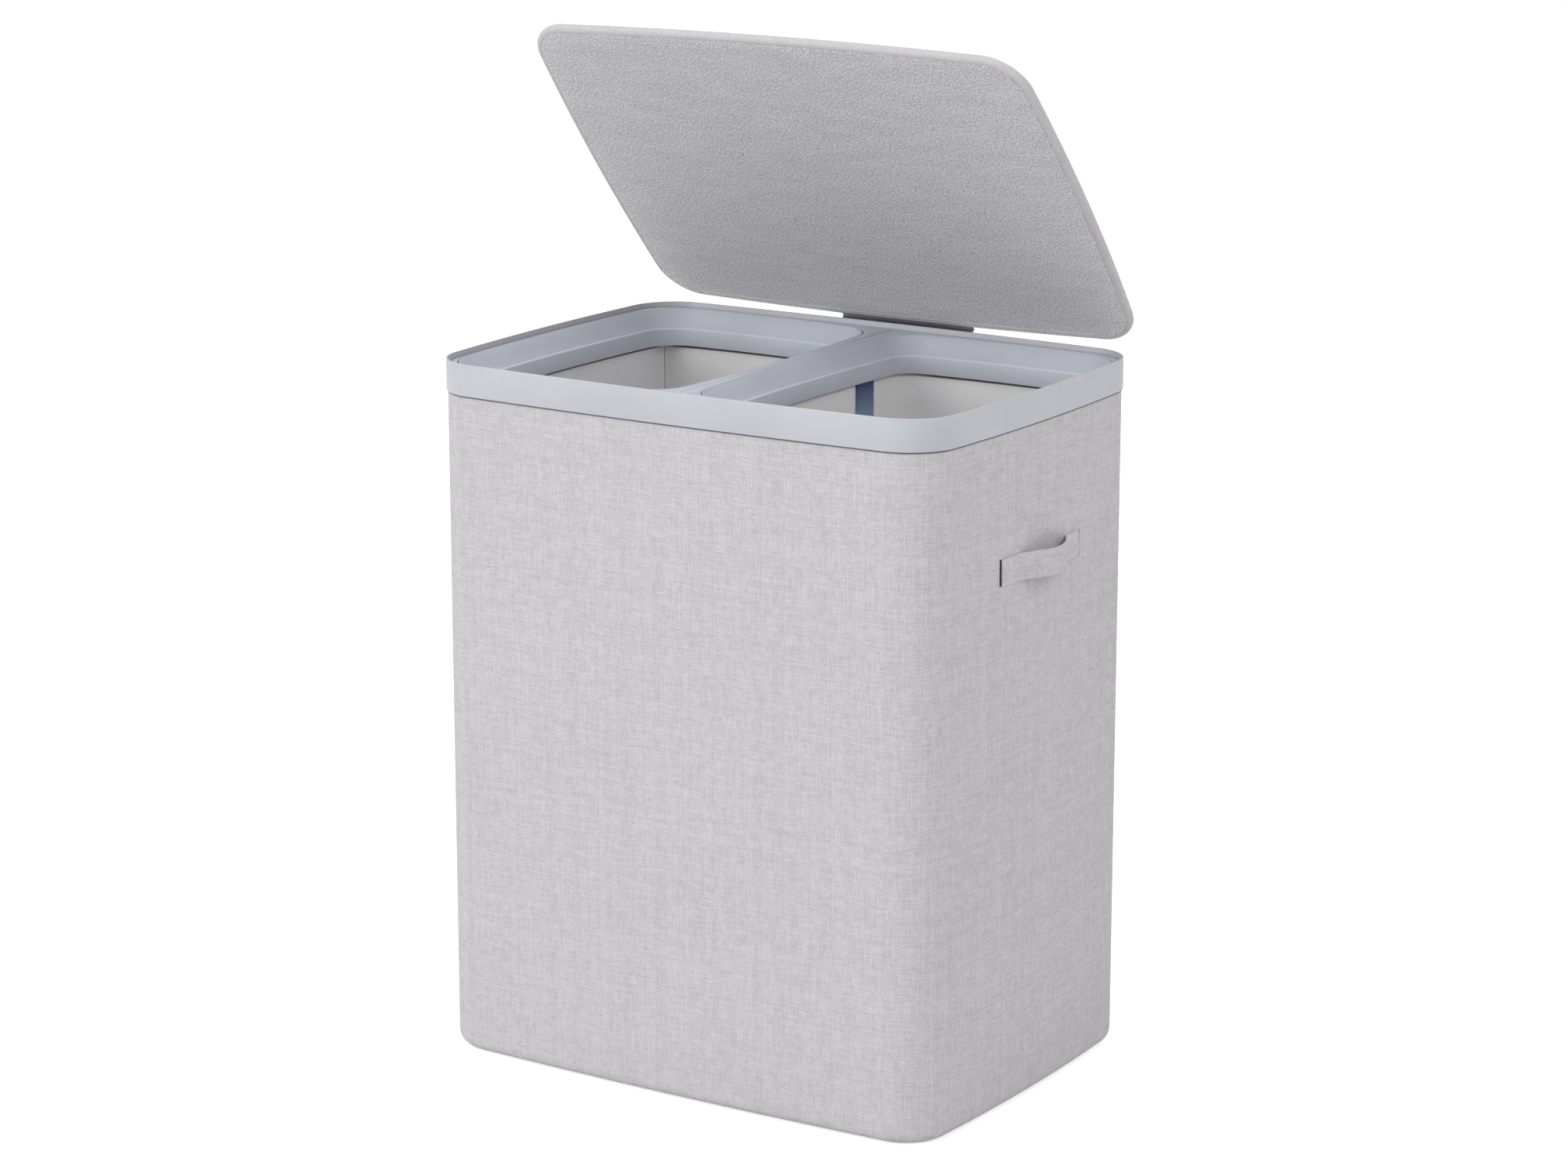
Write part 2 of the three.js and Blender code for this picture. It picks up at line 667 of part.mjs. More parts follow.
function lidPadding() {
  const pad = solidFrom(slab(rimPlan, lidMargin + lidBoardMargin, leafLow, padTop));
  const notch = box([-hingeWidth / 2 - fitGap, hingeWidth / 2 + fitGap], [leafInnerEnd - fitGap, rimHalfY],
    [leafLow - cutOverrun, padTop + cutOverrun]);
  return geometryFrom(pad.subtract(notch));
}

// Materials
const finish = (color, roughness, metalness = 0) => () => new THREE.MeshStandardMaterial(
  { color, roughness, metalness });
const coverLook = finish(clothGrey, 0.95);
const plasticLook = finish(plasticGrey, 0.45);
const undersideLook = finish(undersideGrey, 0.95);
const liningLook = finish(liningGrey, 0.9);
const strapLook = finish(strapNavy, 0.7);
const steelLook = finish(steelGrey, 0.35, 1);
const boardLook = finish(boardBrown, 0.8);
const foamLook = finish(foamWhite, 1);

function place(group, name, geometry, look) {
  const mesh = new THREE.Mesh(geometry, look());
  mesh.name = name;
  group.add(mesh);
}

const hamper = new THREE.Group();
place(hamper, 'outer_cover', outerCover(), coverLook);
place(hamper, 'front_wall_board', wallBoard(-1), boardLook);
place(hamper, 'back_wall_board', wallBoard(1), boardLook);
place(hamper, 'inner_lining', innerLining(), liningLook);
place(hamper, 'base_tray', baseTray(), plasticLook);
place(hamper, 'rim_band', rimBand(), plasticLook);
for (const [word, side] of [['left', -1], ['right', 1]]) {
  place(hamper, `${word}_handle`, handleStrap(side), coverLook);
  place(hamper, `${word}_bin_seat`, binSeat(side), plasticLook);
  place(hamper, `${word}_bin_ring`, binRing(side), plasticLook);
  place(hamper, `${word}_hem_hoop`, hemHoop(side), steelLook);
  place(hamper, `${word}_bag`, bag(side), liningLook);
  place(hamper, `${word}_bag_bottom`, bagBottomPanel(side), liningLook);
  place(hamper, `${word}_bag_base_board`, bagBaseBoard(side), boardLook);
  place(hamper, `${word}_carry_strap`, carryStrap(side), strapLook);
}
place(hamper, 'hinge_bracket', hingeBracket(), steelLook);
place(hamper, 'hinge_pin', hingePin(), steelLook);
bracketScrewPlaces.forEach((x, i) => place(
  hamper, `bracket_screw_${i + 1}`, screw(bracketScrewLength, true, [x, screwStart, screwZ]), steelLook));

// The lid's group turns about the hinge axis, with the closed lid drawn inside it
const lidTurn = new THREE.Group();
lidTurn.position.set(0, hingeY, hingeZ);
lidTurn.rotation.x = -THREE.MathUtils.degToRad(lidOpening);
const closedLid = new THREE.Group();
closedLid.position.set(0, -hingeY, -hingeZ);
place(closedLid, 'lid_cover', lidCover(), coverLook);
place(closedLid, 'lid_underside', lidUnderside(), undersideLook);
place(closedLid, 'lid_board', lidBoard(), boardLook);
place(closedLid, 'lid_padding', lidPadding(), foamLook);
place(closedLid, 'hinge_leaf', hingeLeaf(), steelLook);
place(closedLid, 'hinge_tab_cloth', hingeTabCloth(), coverLook);
leafScrewPlaces.forEach((x, i) => place(
  closedLid, `leaf_screw_${i + 1}`, screw(leafScrewLength, false, [x, leafScrewY, leafFace]), steelLook));
lidTurn.add(closedLid);
hamper.add(lidTurn);

export default hamper;
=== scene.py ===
"""Laundry hamper with two bins: the visible pieces, their finishes, the stage and the camera."""

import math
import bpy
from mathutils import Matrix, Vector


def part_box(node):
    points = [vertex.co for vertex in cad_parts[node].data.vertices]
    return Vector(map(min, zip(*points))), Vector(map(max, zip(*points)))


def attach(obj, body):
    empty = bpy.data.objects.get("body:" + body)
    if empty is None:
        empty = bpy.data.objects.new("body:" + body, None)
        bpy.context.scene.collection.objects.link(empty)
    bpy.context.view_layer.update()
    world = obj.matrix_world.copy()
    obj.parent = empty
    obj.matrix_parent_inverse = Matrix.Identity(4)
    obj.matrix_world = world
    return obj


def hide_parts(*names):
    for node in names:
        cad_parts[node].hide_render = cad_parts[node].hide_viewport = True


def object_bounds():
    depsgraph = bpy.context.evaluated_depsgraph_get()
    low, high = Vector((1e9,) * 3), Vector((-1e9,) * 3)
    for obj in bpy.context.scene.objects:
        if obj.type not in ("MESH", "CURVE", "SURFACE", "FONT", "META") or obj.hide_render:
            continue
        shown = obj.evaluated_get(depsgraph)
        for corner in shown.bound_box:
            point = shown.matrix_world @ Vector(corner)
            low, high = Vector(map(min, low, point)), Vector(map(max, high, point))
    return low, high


bl_info = {
    "name": "Laundry hamper with two bins",
    "version": (1, 0, 0),
    "blender": (4, 5, 0),
    "location": "View3D > Sidebar > Hamper",
    "description": "Builds the cloth, plastic and webbing of a laundry hamper over its packed frame",
    "category": "Object",
}

import bmesh
import bpy
import numpy as np
from mathutils import Vector

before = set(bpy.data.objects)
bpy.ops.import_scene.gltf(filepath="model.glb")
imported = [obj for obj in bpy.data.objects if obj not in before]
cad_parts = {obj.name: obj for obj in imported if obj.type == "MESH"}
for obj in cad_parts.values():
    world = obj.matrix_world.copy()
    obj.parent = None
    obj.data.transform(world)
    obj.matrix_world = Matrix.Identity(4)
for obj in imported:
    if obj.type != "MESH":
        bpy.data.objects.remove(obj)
CAD_LOW, CAD_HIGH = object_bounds()

# Sizes read from the frame, in metres
MM = 0.001
RIM_LOW, RIM_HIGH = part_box("rim_band")
COVER_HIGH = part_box("outer_cover")[1]
RING_LOW, RING_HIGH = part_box("right_bin_ring")
BAG_LOW, BAG_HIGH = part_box("right_bag")
HANDLE_LOW, HANDLE_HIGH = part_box("right_handle")
TAPE_LOW, TAPE_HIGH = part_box("right_carry_strap")
BOARD_LOW, BOARD_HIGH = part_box("right_bag_base_board")
PIN_LOW, PIN_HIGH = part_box("hinge_pin")
LINING_LOW, LINING_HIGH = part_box("inner_lining")
LID_OPENING = math.radians(49.7)
DECK_Z = RING_HIGH.z
PIN_Y = (PIN_LOW.y + PIN_HIGH.y) / 2
PIN_Z = (PIN_LOW.z + PIN_HIGH.z) / 2

# Modelling: what counts as level, what is merged, the smallest corner of a plan, and cuts through a wall
NEAR = MM / 10
MERGE = 0.01 * MM
LEAST_CORNER = 0.5 * MM
THROUGH = 12 * MM

# Walls that no setting changes
LINING_WALL, LID_SKIN, FELT_WALL, TAB_WALL = 0.8 * MM, 0.3 * MM, 0.4 * MM, 0.6 * MM

# Cloth: yarns in a metre, rows of stitches, and how far each side of the hinge's middle the lid's rows run
LINEN_YARNS, LINING_YARNS, TAPE_YARNS = 640.0, 1900.0, 1100.0
LID_STITCHES = {"Pitch": 3.2 * MM, "Thread": 1.0 * MM}
STRAP_STITCHES = {"Place": 8.9 * MM, "Pitch": 2.6 * MM}
HINGE_SIDE = 0.2

WHITE = (1.0, 1.0, 1.0, 1.0)
# Colour of the painted highlight on a ring's step
PAINTED_HIGHLIGHT_COLOUR = (0.82, 0.86, 0.95, 1.0)

# Camera, fitted to the photograph
CAMERA_PLACE = (1.9293, -3.0223, 1.2824)
CAMERA_TURN = (math.radians(90 - 13.808), 0, math.radians(32.565))
CAMERA_LENS, SENSOR_WIDTH = 100.5, 36


def length(name, description, default):
    """A size in metres, given here in millimetres."""
    return bpy.props.FloatProperty(
        name=name, description=description, default=default * MM, unit="LENGTH", precision=5
    )


def colour(name, description, level):
    """A surface colour, given here as 0 to 255 for each of red, green and blue."""
    linear = [((v / 255 + 0.055) / 1.055) ** 2.4 for v in level]
    return bpy.props.FloatVectorProperty(
        name=name, description=description, default=linear, size=3, subtype="COLOR", min=0, max=1
    )


def amount(name, description, default):
    """A plain number."""
    return bpy.props.FloatProperty(name=name, description=description, default=default)


class HamperBodySizes(bpy.types.PropertyGroup):
    """Sizes of the cloth body, the rim band and the deck."""

    corner: length("Corner radius", "Radius of the rim's corners, seen from above", 42.3)
    front_bow: length("Front bow", "How far the front and back bulge at their middle", 7.1)
    side_bow: length("Side bow", "How far the short sides bulge at their middle", 8.2)
    foot_round: length("Foot rounding", "Radius of the cover's lower edge", 12.3)
    cloth: length("Cover cloth", "Thickness of the cover's cloth", 1.2)
    cover_setback: length("Cover setback", "How far the cover lies inside the rim band", 1.35)
    tuck: length("Tuck", "Depth of the groove between the cover and the rim band", 0.8)
    tuck_height: length("Tuck height", "Height of the groove between the cover and the rim band", 1.4)
    lip_width: length("Lip width", "Width of the rim's lip along its top", 1.5)
    lip_foot: length("Lip foot", "Width of the rim's lip where it meets the deck", 3.6)
    lip_round: length("Lip rounding", "Radius of the lip's edges", 0.5)
    band_wall: length("Band wall", "Thickness of the rim band's outer wall", 0.9)
    web_drop: length("Web drop", "Height of the deck's underside below the deck", 6.8)
    deck_gap: length("Deck gap", "Clearance between the lip and the deck", 0.3)
    deck: length("Deck thickness", "Thickness of the deck that carries the bins", 6.6)
    split_gap: length("Split gap", "Gap between the two halves of the deck", 1.0)


class HamperBinSizes(bpy.types.PropertyGroup):
    """Sizes of the bin rings, their bags and the tape inside them."""

    outer_corner: length("Outer corner", "Ring corner radius away from the divider", 46.0)
    divider_corner: length("Divider corner", "Ring corner radius beside the divider", 35.0)
    end_bow: length("End bow", "How far a ring's front and back bulge", 7.5)
    side_bow: length("Side bow", "How far a ring's long sides bulge", 8.8)
    seat_gap: length("Seat gap", "Clearance between a ring and its seat in the deck", 1.0)
    edge: length("Ring edge", "Radius of the ring's upper edge", 0.4)
    flat: length("Ring flat", "Width of the flat strip along the ring's edge", 1.0)
    flange: length("Flange", "Depth of the ring's flange", 2.7)
    slope_run: length("Slope run", "Width of the funnel slope, seen from above", 10.0)
    slope_drop: length("Slope drop", "Height of the funnel slope", 16.0)
    step: length("Step", "Width of the step between the slope and the collar", 1.1)
    draft: length("Draft", "How far the collar leans inwards", 0.5)
    collar: length("Collar", "Height of the collar under the step", 14.8)
    wall: length("Ring wall", "Thickness of the ring's plastic", 1.6)
    hem_inset: length("Hem inset", "Distance of the bag's hem inside the ring's edge", 6.5)
    hem_height: length("Hem height", "Height of the hem that stands behind the collar", 12.5)
    neck: length("Neck", "Height over which the bag squares up under its hem", 2.8)
    setback: length("Bag setback", "Distance of the bag's wall inside the ring's edge", 7.6)
    bag_outer_corner: length("Bag corner", "Bag corner radius away from the divider", 5.0)
    bag_divider_corner: length("Bag inner corner", "Bag corner radius at the divider", 24.0)
    foot_round: length("Bag foot", "Radius of the bag's lower edge", 2.5)
    cloth: length("Bag cloth", "Thickness of the bag's cloth", 1.0)
    tape_width: length("Tape width", "Width of the navy tape", 25.0)
    tape_cloth: length("Tape thickness", "Thickness of the navy tape", 1.2)


class HamperLidSizes(bpy.types.PropertyGroup):
    """Sizes of the lid and of the cloth tab over its hinge."""

    margin: length("Margin", "Distance of the lid's edge inside the rim's outer face", 4.3)
    rest: length("Rest gap", "Height of the closed lid above the deck", 0.5)
    thickness: length("Thickness", "Thickness of the lid", 8.2)
    cloth: length("Lid cloth", "Thickness of the lid's cloth", 0.8)
    seam: length("Seam inset", "Distance of the underside's seam from the lid's edge", 5.0)
    groove: length("Groove", "Width and depth of the seam's groove", 0.9)
    tab_width: length("Tab width", "Width of the cloth tab over the hinge", 129.0)


class HamperHandleSizes(bpy.types.PropertyGroup):
    """Sizes of the two cloth handles."""

    thickness: length("Thickness", "Thickness of the strap", 1.8)
    standoff: length("Stand-off", "How far the strap arches out from the wall", 14.3)
    arch_half: length("Half arch", "Half of the arch's length", 39.0)
    arch_peak: length("Peak", "Place of the arch's highest point along the wall", 2.0)
    slit_width: length("Slit width", "Width of the slit in front of the strap's end", 3.0)


class HamperFinishes(bpy.types.PropertyGroup):
    """Colours of the cloth, plastic and metal."""

    cover_light: colour("Cover light", "Raised yarns of the linen cover", (217, 215, 217))
    cover_dark: colour("Cover dark", "Sunk yarns of the linen cover", (182, 180, 182))
    felt_light: colour("Felt light", "Light fibres of the lid's underside", (234, 233, 236))
    felt_dark: colour("Felt dark", "Dark fibres of the lid's underside", (172, 171, 174))
    lining_light: colour("Lining light", "Light side of the bag's cloth", (244, 243, 243))
    lining_dark: colour("Lining dark", "Dark side of the bag's cloth", (232, 231, 231))
    tape: colour("Tape", "Navy tape in the bags", (34, 60, 112))
    # Painted light: the tape's colour lower down, where more light falls on it.
    tape_painted_light: colour("Tape lower down", "Navy tape where more light falls on it", (118, 141, 168))
    plastic: colour("Rim plastic", "Moulded rim band", (195, 197, 204))
    funnel: colour("Ring plastic", "Moulded deck and rings", (196, 200, 208))
    steel: colour("Steel", "Hinge, pin, screws and hoops", (150, 153, 158))
    board: colour("Board", "Stiffening boards", (96, 82, 66))
    wadding: colour("Wadding", "Padding inside the lid", (230, 228, 222))


class HamperStage(bpy.types.PropertyGroup):
    """Light levels of the studio."""

    world: amount("World light", "Strength of the light from all round", 0.62)
    key: amount("Key light", "Power of the large lamp at the front left, in watts", 60.0)
    fill: amount("Fill light", "Power of the lamp at the right, in watts", 20.0)
    top: amount("Top light", "Power of the lamp above, in watts", 18.0)
    floor: amount("Floor", "Brightness of the floor's own colour", 0.86)
    floor_lift: amount("Floor lift", "Light that the floor shows to the camera alone", 0.55)


GROUPS = {
    "body": HamperBodySizes,
    "bins": HamperBinSizes,
    "lid": HamperLidSizes,
    "handles": HamperHandleSizes,
    "finishes": HamperFinishes,
    "stage": HamperStage,
}


def chosen(name):
    """One of the hamper's groups of settings."""
    return getattr(bpy.context.scene.hamper, name)


# Modelling helpers


def settle():
    """Leaves edit mode and selects nothing, so that an operator acts on its own piece alone."""
    if bpy.context.object and bpy.context.object.mode != "OBJECT":
        bpy.ops.object.mode_set(mode="OBJECT")
    bpy.ops.object.select_all(action="DESELECT")


def take(piece):
    """Makes a piece the only selected and active one."""
    settle()
    piece.select_set(True)
    bpy.context.view_layer.objects.active = piece


def edit(piece, what="DESELECT"):
    """Opens a piece in edit mode with all or nothing of it selected."""
    take(piece)
    bpy.ops.object.mode_set(mode="EDIT")
    bpy.ops.mesh.select_all(action=what)


def pick(piece, test, kind="FACE"):
    """Selects the faces, edges or points of a piece in edit mode that pass a test."""
    bpy.ops.mesh.select_mode(type=kind)
    bpy.ops.mesh.select_all(action="DESELECT")
    mesh = bmesh.from_edit_mesh(piece.data)
    items = {"FACE": mesh.faces, "EDGE": mesh.edges, "VERT": mesh.verts}[kind]
    for item in items:
        if test(item):
            item.select_set(True)
    mesh.select_flush_mode()
    bmesh.update_edit_mesh(piece.data)


def finish_with(piece, kind, **settings):
    """Adds a modifier to a piece, sets it and applies it."""
    take(piece)
    bpy.ops.object.modifier_add(type=kind)
    modifier = piece.modifiers[-1]
    for name, value in settings.items():
        setattr(modifier, name, value)
    bpy.ops.object.modifier_apply(modifier=modifier.name)


def smooth(piece, degrees=35):
    """Shades a piece smooth up to an angle between its faces."""
    take(piece)
    bpy.ops.object.shade_smooth_by_angle(angle=math.radians(degrees))


def face_outwards(piece):
    """Merges doubled points and turns every face of a piece outwards."""
    edit(piece, "SELECT")
    bpy.ops.mesh.remove_doubles(threshold=MERGE)
    bpy.ops.mesh.normals_make_consistent(inside=False)
    settle()


def join(pieces, name):
    """Joins pieces into the first one and names it."""
    settle()
    for piece in pieces:
        piece.select_set(True)
    bpy.context.view_layer.objects.active = pieces[0]
    bpy.ops.object.join()
    pieces[0].name = name
    return pieces[0]


def copy_mirrored(piece, name):
    """A copy of a piece with its own mesh, mirrored from right to left."""
    take(piece)
    bpy.ops.object.duplicate(linked=False)
    twin = bpy.context.object
    twin.name = name
    bpy.ops.transform.mirror(constraint_axis=(True, False, False))
    bpy.ops.object.transform_apply(location=True, rotation=True, scale=True)
    face_outwards(twin)
    return twin


class Plan:
    """A rectangle with bowed sides and round corners, seen from above, about a centre on X."""

    def __init__(self, half_x, half_y, corners, end_bow, side_bow, centre=0.0):
        self.half = Vector((half_x, half_y))
        self.corners = corners
        self.bows = Vector((side_bow, end_bow))
        self.centre = centre
        self.square = self.half - self.bows
        turn = 2 * side_bow / half_y + 2 * end_bow / half_x
        self.corner_share = 1 - turn / (math.pi / 2)

    def bowed(self, x, y):
        """Where a point of the plain rectangle goes when its sides are bowed."""
        across = (x - self.centre) / self.square.x
        along = y / self.square.y
        shift_x = self.bows.x * (1 - (y / self.half.y) ** 2) * across
        shift_y = self.bows.y * (1 - ((x - self.centre) / self.half.x) ** 2) * along
        return x + shift_x, y + shift_y

    def reach(self, y, inset=0.0):
        """The plan's distance from the centre to its side at a place along the side."""
        return self.half.x - inset - self.bows.x * (y / self.half.y) ** 2


def start_plate(name, plan, inset, z, corner_cuts=14, side_cuts=20, least=LEAST_CORNER):
    """A flat plate in edit mode: a plane whose corners are bevelled round and whose sides are cut."""
    settle()
    bpy.ops.mesh.primitive_plane_add(size=2, location=(plan.centre, 0, z))
    piece = bpy.context.object
    piece.name = name
    piece.scale = (plan.square.x - inset, plan.square.y - inset, 1)
    bpy.ops.object.transform_apply(location=True, rotation=True, scale=True)
    edit(piece)
    for side, corner in ((1, plan.corners[0]), (-1, plan.corners[1])):
        radius = max(corner * plan.corner_share - inset, least)
        edge = plan.square.x - inset
        pick(piece, lambda v, s=side, e=edge: abs((v.co.x - plan.centre) * s - e) < NEAR, "VERT")
        bpy.ops.mesh.bevel(offset=radius, segments=corner_cuts, affect="VERTICES", clamp_overlap=False)
    longest = min(plan.square) / 2
    pick(piece, lambda e: e.calc_length() > longest, "EDGE")
    bpy.ops.mesh.subdivide(number_cuts=side_cuts)
    bpy.ops.mesh.select_mode(type="FACE")
    bpy.ops.mesh.select_all(action="SELECT")
    return piece


def step(inset, rise):
    """The selected face moves one step along the profile, drawn in by inset and up by rise."""
    if inset:
        bpy.ops.mesh.inset(thickness=inset, depth=rise, use_even_offset=True)
    else:
        bpy.ops.mesh.extrude_region_move(TRANSFORM_OT_translate={"value": (0, 0, rise)})


def round_steps(radius, count, opening):
    """Steps of a quarter round. It starts upright where opening is false, and flat where it is true."""
    turns = [math.pi / 2 * i / count for i in range(count + 1)]
    rim = [(1 - math.cos(t), math.sin(t)) for t in turns]
    if opening:
        rim = [(math.sin(t), 1 - math.cos(t)) for t in turns]
    return [((b[0] - a[0]) * radius, (b[1] - a[1]) * radius) for a, b in zip(rim, rim[1:])]


def round_edge(radius, count, way=1, opening=False):
    """Draws a quarter round, upwards where way is 1 and downwards where it is -1."""
    for inward, rise in round_steps(radius, count, opening):
        step(inward, way * rise)


def steps(count, inset, rise):
    """Draws a stretch of the profile in equal steps."""
    for _ in range(count):
        step(inset / count, rise / count)


def open_end():
    """Deletes the face at the end of the profile and leaves its edge open."""
    bpy.ops.mesh.delete(type="FACE")


def open_start(piece, z):
    """Deletes the many-sided face that the first step left behind at the height of the plate."""
    pick(piece, lambda f: len(f.verts) > 8 and all(abs(v.co.z - z) < NEAR for v in f.verts))
    bpy.ops.mesh.delete(type="FACE")


def bow(piece, plan):
    """Bows the sides of a piece that was drawn over a plan's plain rectangle."""
    settle()
    for point in piece.data.vertices:
        point.co.x, point.co.y = plan.bowed(point.co.x, point.co.y)


def thicken(piece, thickness, inward=True):
    """Gives a shell its wall."""
    finish_with(piece, "SOLIDIFY", thickness=thickness, offset=-1 if inward else 1, use_even_offset=True)
    face_outwards(piece)


def ease_edges(piece, width, segments=2, degrees=50):
    """Rounds the sharp edges of a piece."""
    finish_with(
        piece, "BEVEL", width=width, segments=segments, limit_method="ANGLE",
        angle_limit=math.radians(degrees), use_clamp_overlap=True, harden_normals=False,
    )


def cut_away(piece, cutter):
    """Cuts one piece out of another and deletes the cutter."""
    take(cutter)
    finish_with(piece, "BOOLEAN", operation="DIFFERENCE", object=cutter, solver="EXACT")
    take(cutter)
    bpy.ops.object.delete()


def block(name, low, high):
    """A plain box between two corners, for cutting."""
    settle()
    middle = [(a + b) / 2 for a, b in zip(low, high)]
    bpy.ops.mesh.primitive_cube_add(size=1, location=middle)
    piece = bpy.context.object
    piece.name = name
    piece.scale = [b - a for a, b in zip(low, high)]
    bpy.ops.object.transform_apply(location=True, rotation=True, scale=True)
    return piece


def ripple(piece, strength, size, name):
    """Makes cloth a little uneven."""
    texture = bpy.data.textures.new(name, "CLOUDS")
    texture.noise_scale = size
    texture.noise_depth = 1
    finish_with(
        piece, "DISPLACE", texture=texture, texture_coords="LOCAL", strength=strength, mid_level=0.5
    )


def outline_of(plan, inset=0.0, count=60, longest=6 * MM):
    """The plan's outline as points, from the middle of the back, for measuring along it."""
    square = plan.square - Vector((inset, inset))
    corners = [plan.corners[1], plan.corners[0]]
    path = []
    for sign_x, sign_y in ((1, 1), (1, -1), (-1, -1), (-1, 1)):
        radius = max(corners[sign_x > 0] * plan.corner_share - inset, LEAST_CORNER)
        middle = (square.x - radius, square.y - radius)
        turns = [math.pi / 2 * i / count for i in range(count + 1)]
        if sign_x * sign_y > 0:
            turns = turns[::-1]
        path += [
            (sign_x * (middle[0] + radius * math.cos(t)), sign_y * (middle[1] + radius * math.sin(t)))
            for t in turns
        ]
    dense = []
    for a, b in zip(path, path[1:] + path[:1]):
        parts = max(1, int(math.dist(a, b) / longest))
        dense += [(a[0] + (b[0] - a[0]) * i / parts, a[1] + (b[1] - a[1]) * i / parts) for i in range(parts)]
    bowed = np.array([plan.bowed(x + plan.centre, y) for x, y in dense])
    start = int(np.argmin(np.abs(bowed[:, 0] - plan.centre) + (bowed[:, 1] < 0) * plan.half.x))
    return np.roll(bowed, -start, axis=0)


def girth_of(points, outline):
    """For each point, its place along an outline and its distance from it, in metres."""
    after = np.roll(outline, -1, axis=0)
    run = after - outline
    lengths = np.linalg.norm(run, axis=1)
    starts = np.concatenate([[0], np.cumsum(lengths)[:-1]])
    places, gaps = np.empty(len(points)), np.empty(len(points))
    for i, point in enumerate(points):
        share = np.clip(((point - outline) * run).sum(1) / lengths**2, 0, 1)
        away = np.linalg.norm(outline + run * share[:, None] - point, axis=1)
        best = int(np.argmin(away))
        places[i], gaps[i] = starts[best] + share[best] * lengths[best], away[best]
    return places, gaps, lengths.sum()


def lay_cloth(piece, plan, inset=0.0, flat_above=0.75):
    """Lays two UV maps on a piece, in metres: weave follows the cloth, seam runs along the outline."""
    settle()
    mesh = piece.data
    outline = outline_of(plan, inset)
    flat = np.array([(v.co.x, v.co.y) for v in mesh.vertices])
    places, gaps, around = girth_of(flat, outline)
    weave = mesh.uv_layers.new(name="weave")
    seam = mesh.uv_layers.new(name="seam")
    for face in mesh.polygons:
        corners = [mesh.loops[i].vertex_index for i in face.loop_indices]
        along = places[corners]
        if along.max() - along.min() > around / 2:
            along = np.where(along < around / 2, along + around, along)
        level = abs(face.normal.z) > flat_above
        for loop, point, place in zip(face.loop_indices, corners, along):
            spot = mesh.vertices[point].co
            seam.data[loop].uv = (place, gaps[point])
            weave.data[loop].uv = (spot.x, spot.y) if level else (place, spot.z)


def strip(name, size, cuts, place):
    """A strip of cloth: a flat grid whose points a function moves from (along, across) to their place."""
    settle()
    bpy.ops.mesh.primitive_grid_add(x_subdivisions=cuts[0], y_subdivisions=cuts[1], size=1)
    piece = bpy.context.object
    piece.name = name
    piece.scale = (size[0], size[1], 1)
    bpy.ops.object.transform_apply(location=True, rotation=True, scale=True)
    mesh = piece.data
    while mesh.uv_layers:
        mesh.uv_layers.remove(mesh.uv_layers[0])
    for title in ("weave", "seam"):
        layer = mesh.uv_layers.new(name=title)
        for loop in mesh.loops:
            spot = mesh.vertices[loop.vertex_index].co
            layer.data[loop.index].uv = (spot.x, spot.y)
    for point in mesh.vertices:
        point.co = place(point.co.x, point.co.y)
    return piece


def turn_lid(piece):
    """Turns a piece of the closed lid up to the pose that it is stored in."""
    edit(piece, "SELECT")
    bpy.ops.transform.rotate(value=LID_OPENING, orient_axis="X", center_override=(0, PIN_Y, PIN_Z))
    settle()


def dress(piece, body, material, slot, *nodes):
    """Gives a finished piece its material and its body, and hides the nodes that it stands for. The slot is
    not used.
    """
    piece.data.materials.clear()
    piece.data.materials.append(material)
    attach(piece, body)
    if nodes:
        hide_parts(*nodes)


def dress_pair(piece, twin_name, degrees, material, slot, *nodes):
    """Mirrors a piece of the right side to the left, and shades and dresses both."""
    twin = copy_mirrored(piece, twin_name)
    for one, side in ((piece, "right"), (twin, "left")):
        smooth(one, degrees)
        dress(one, "hamper_body", finish(material), slot, *[f"{side}_{node}" for node in nodes])


# Shader helpers


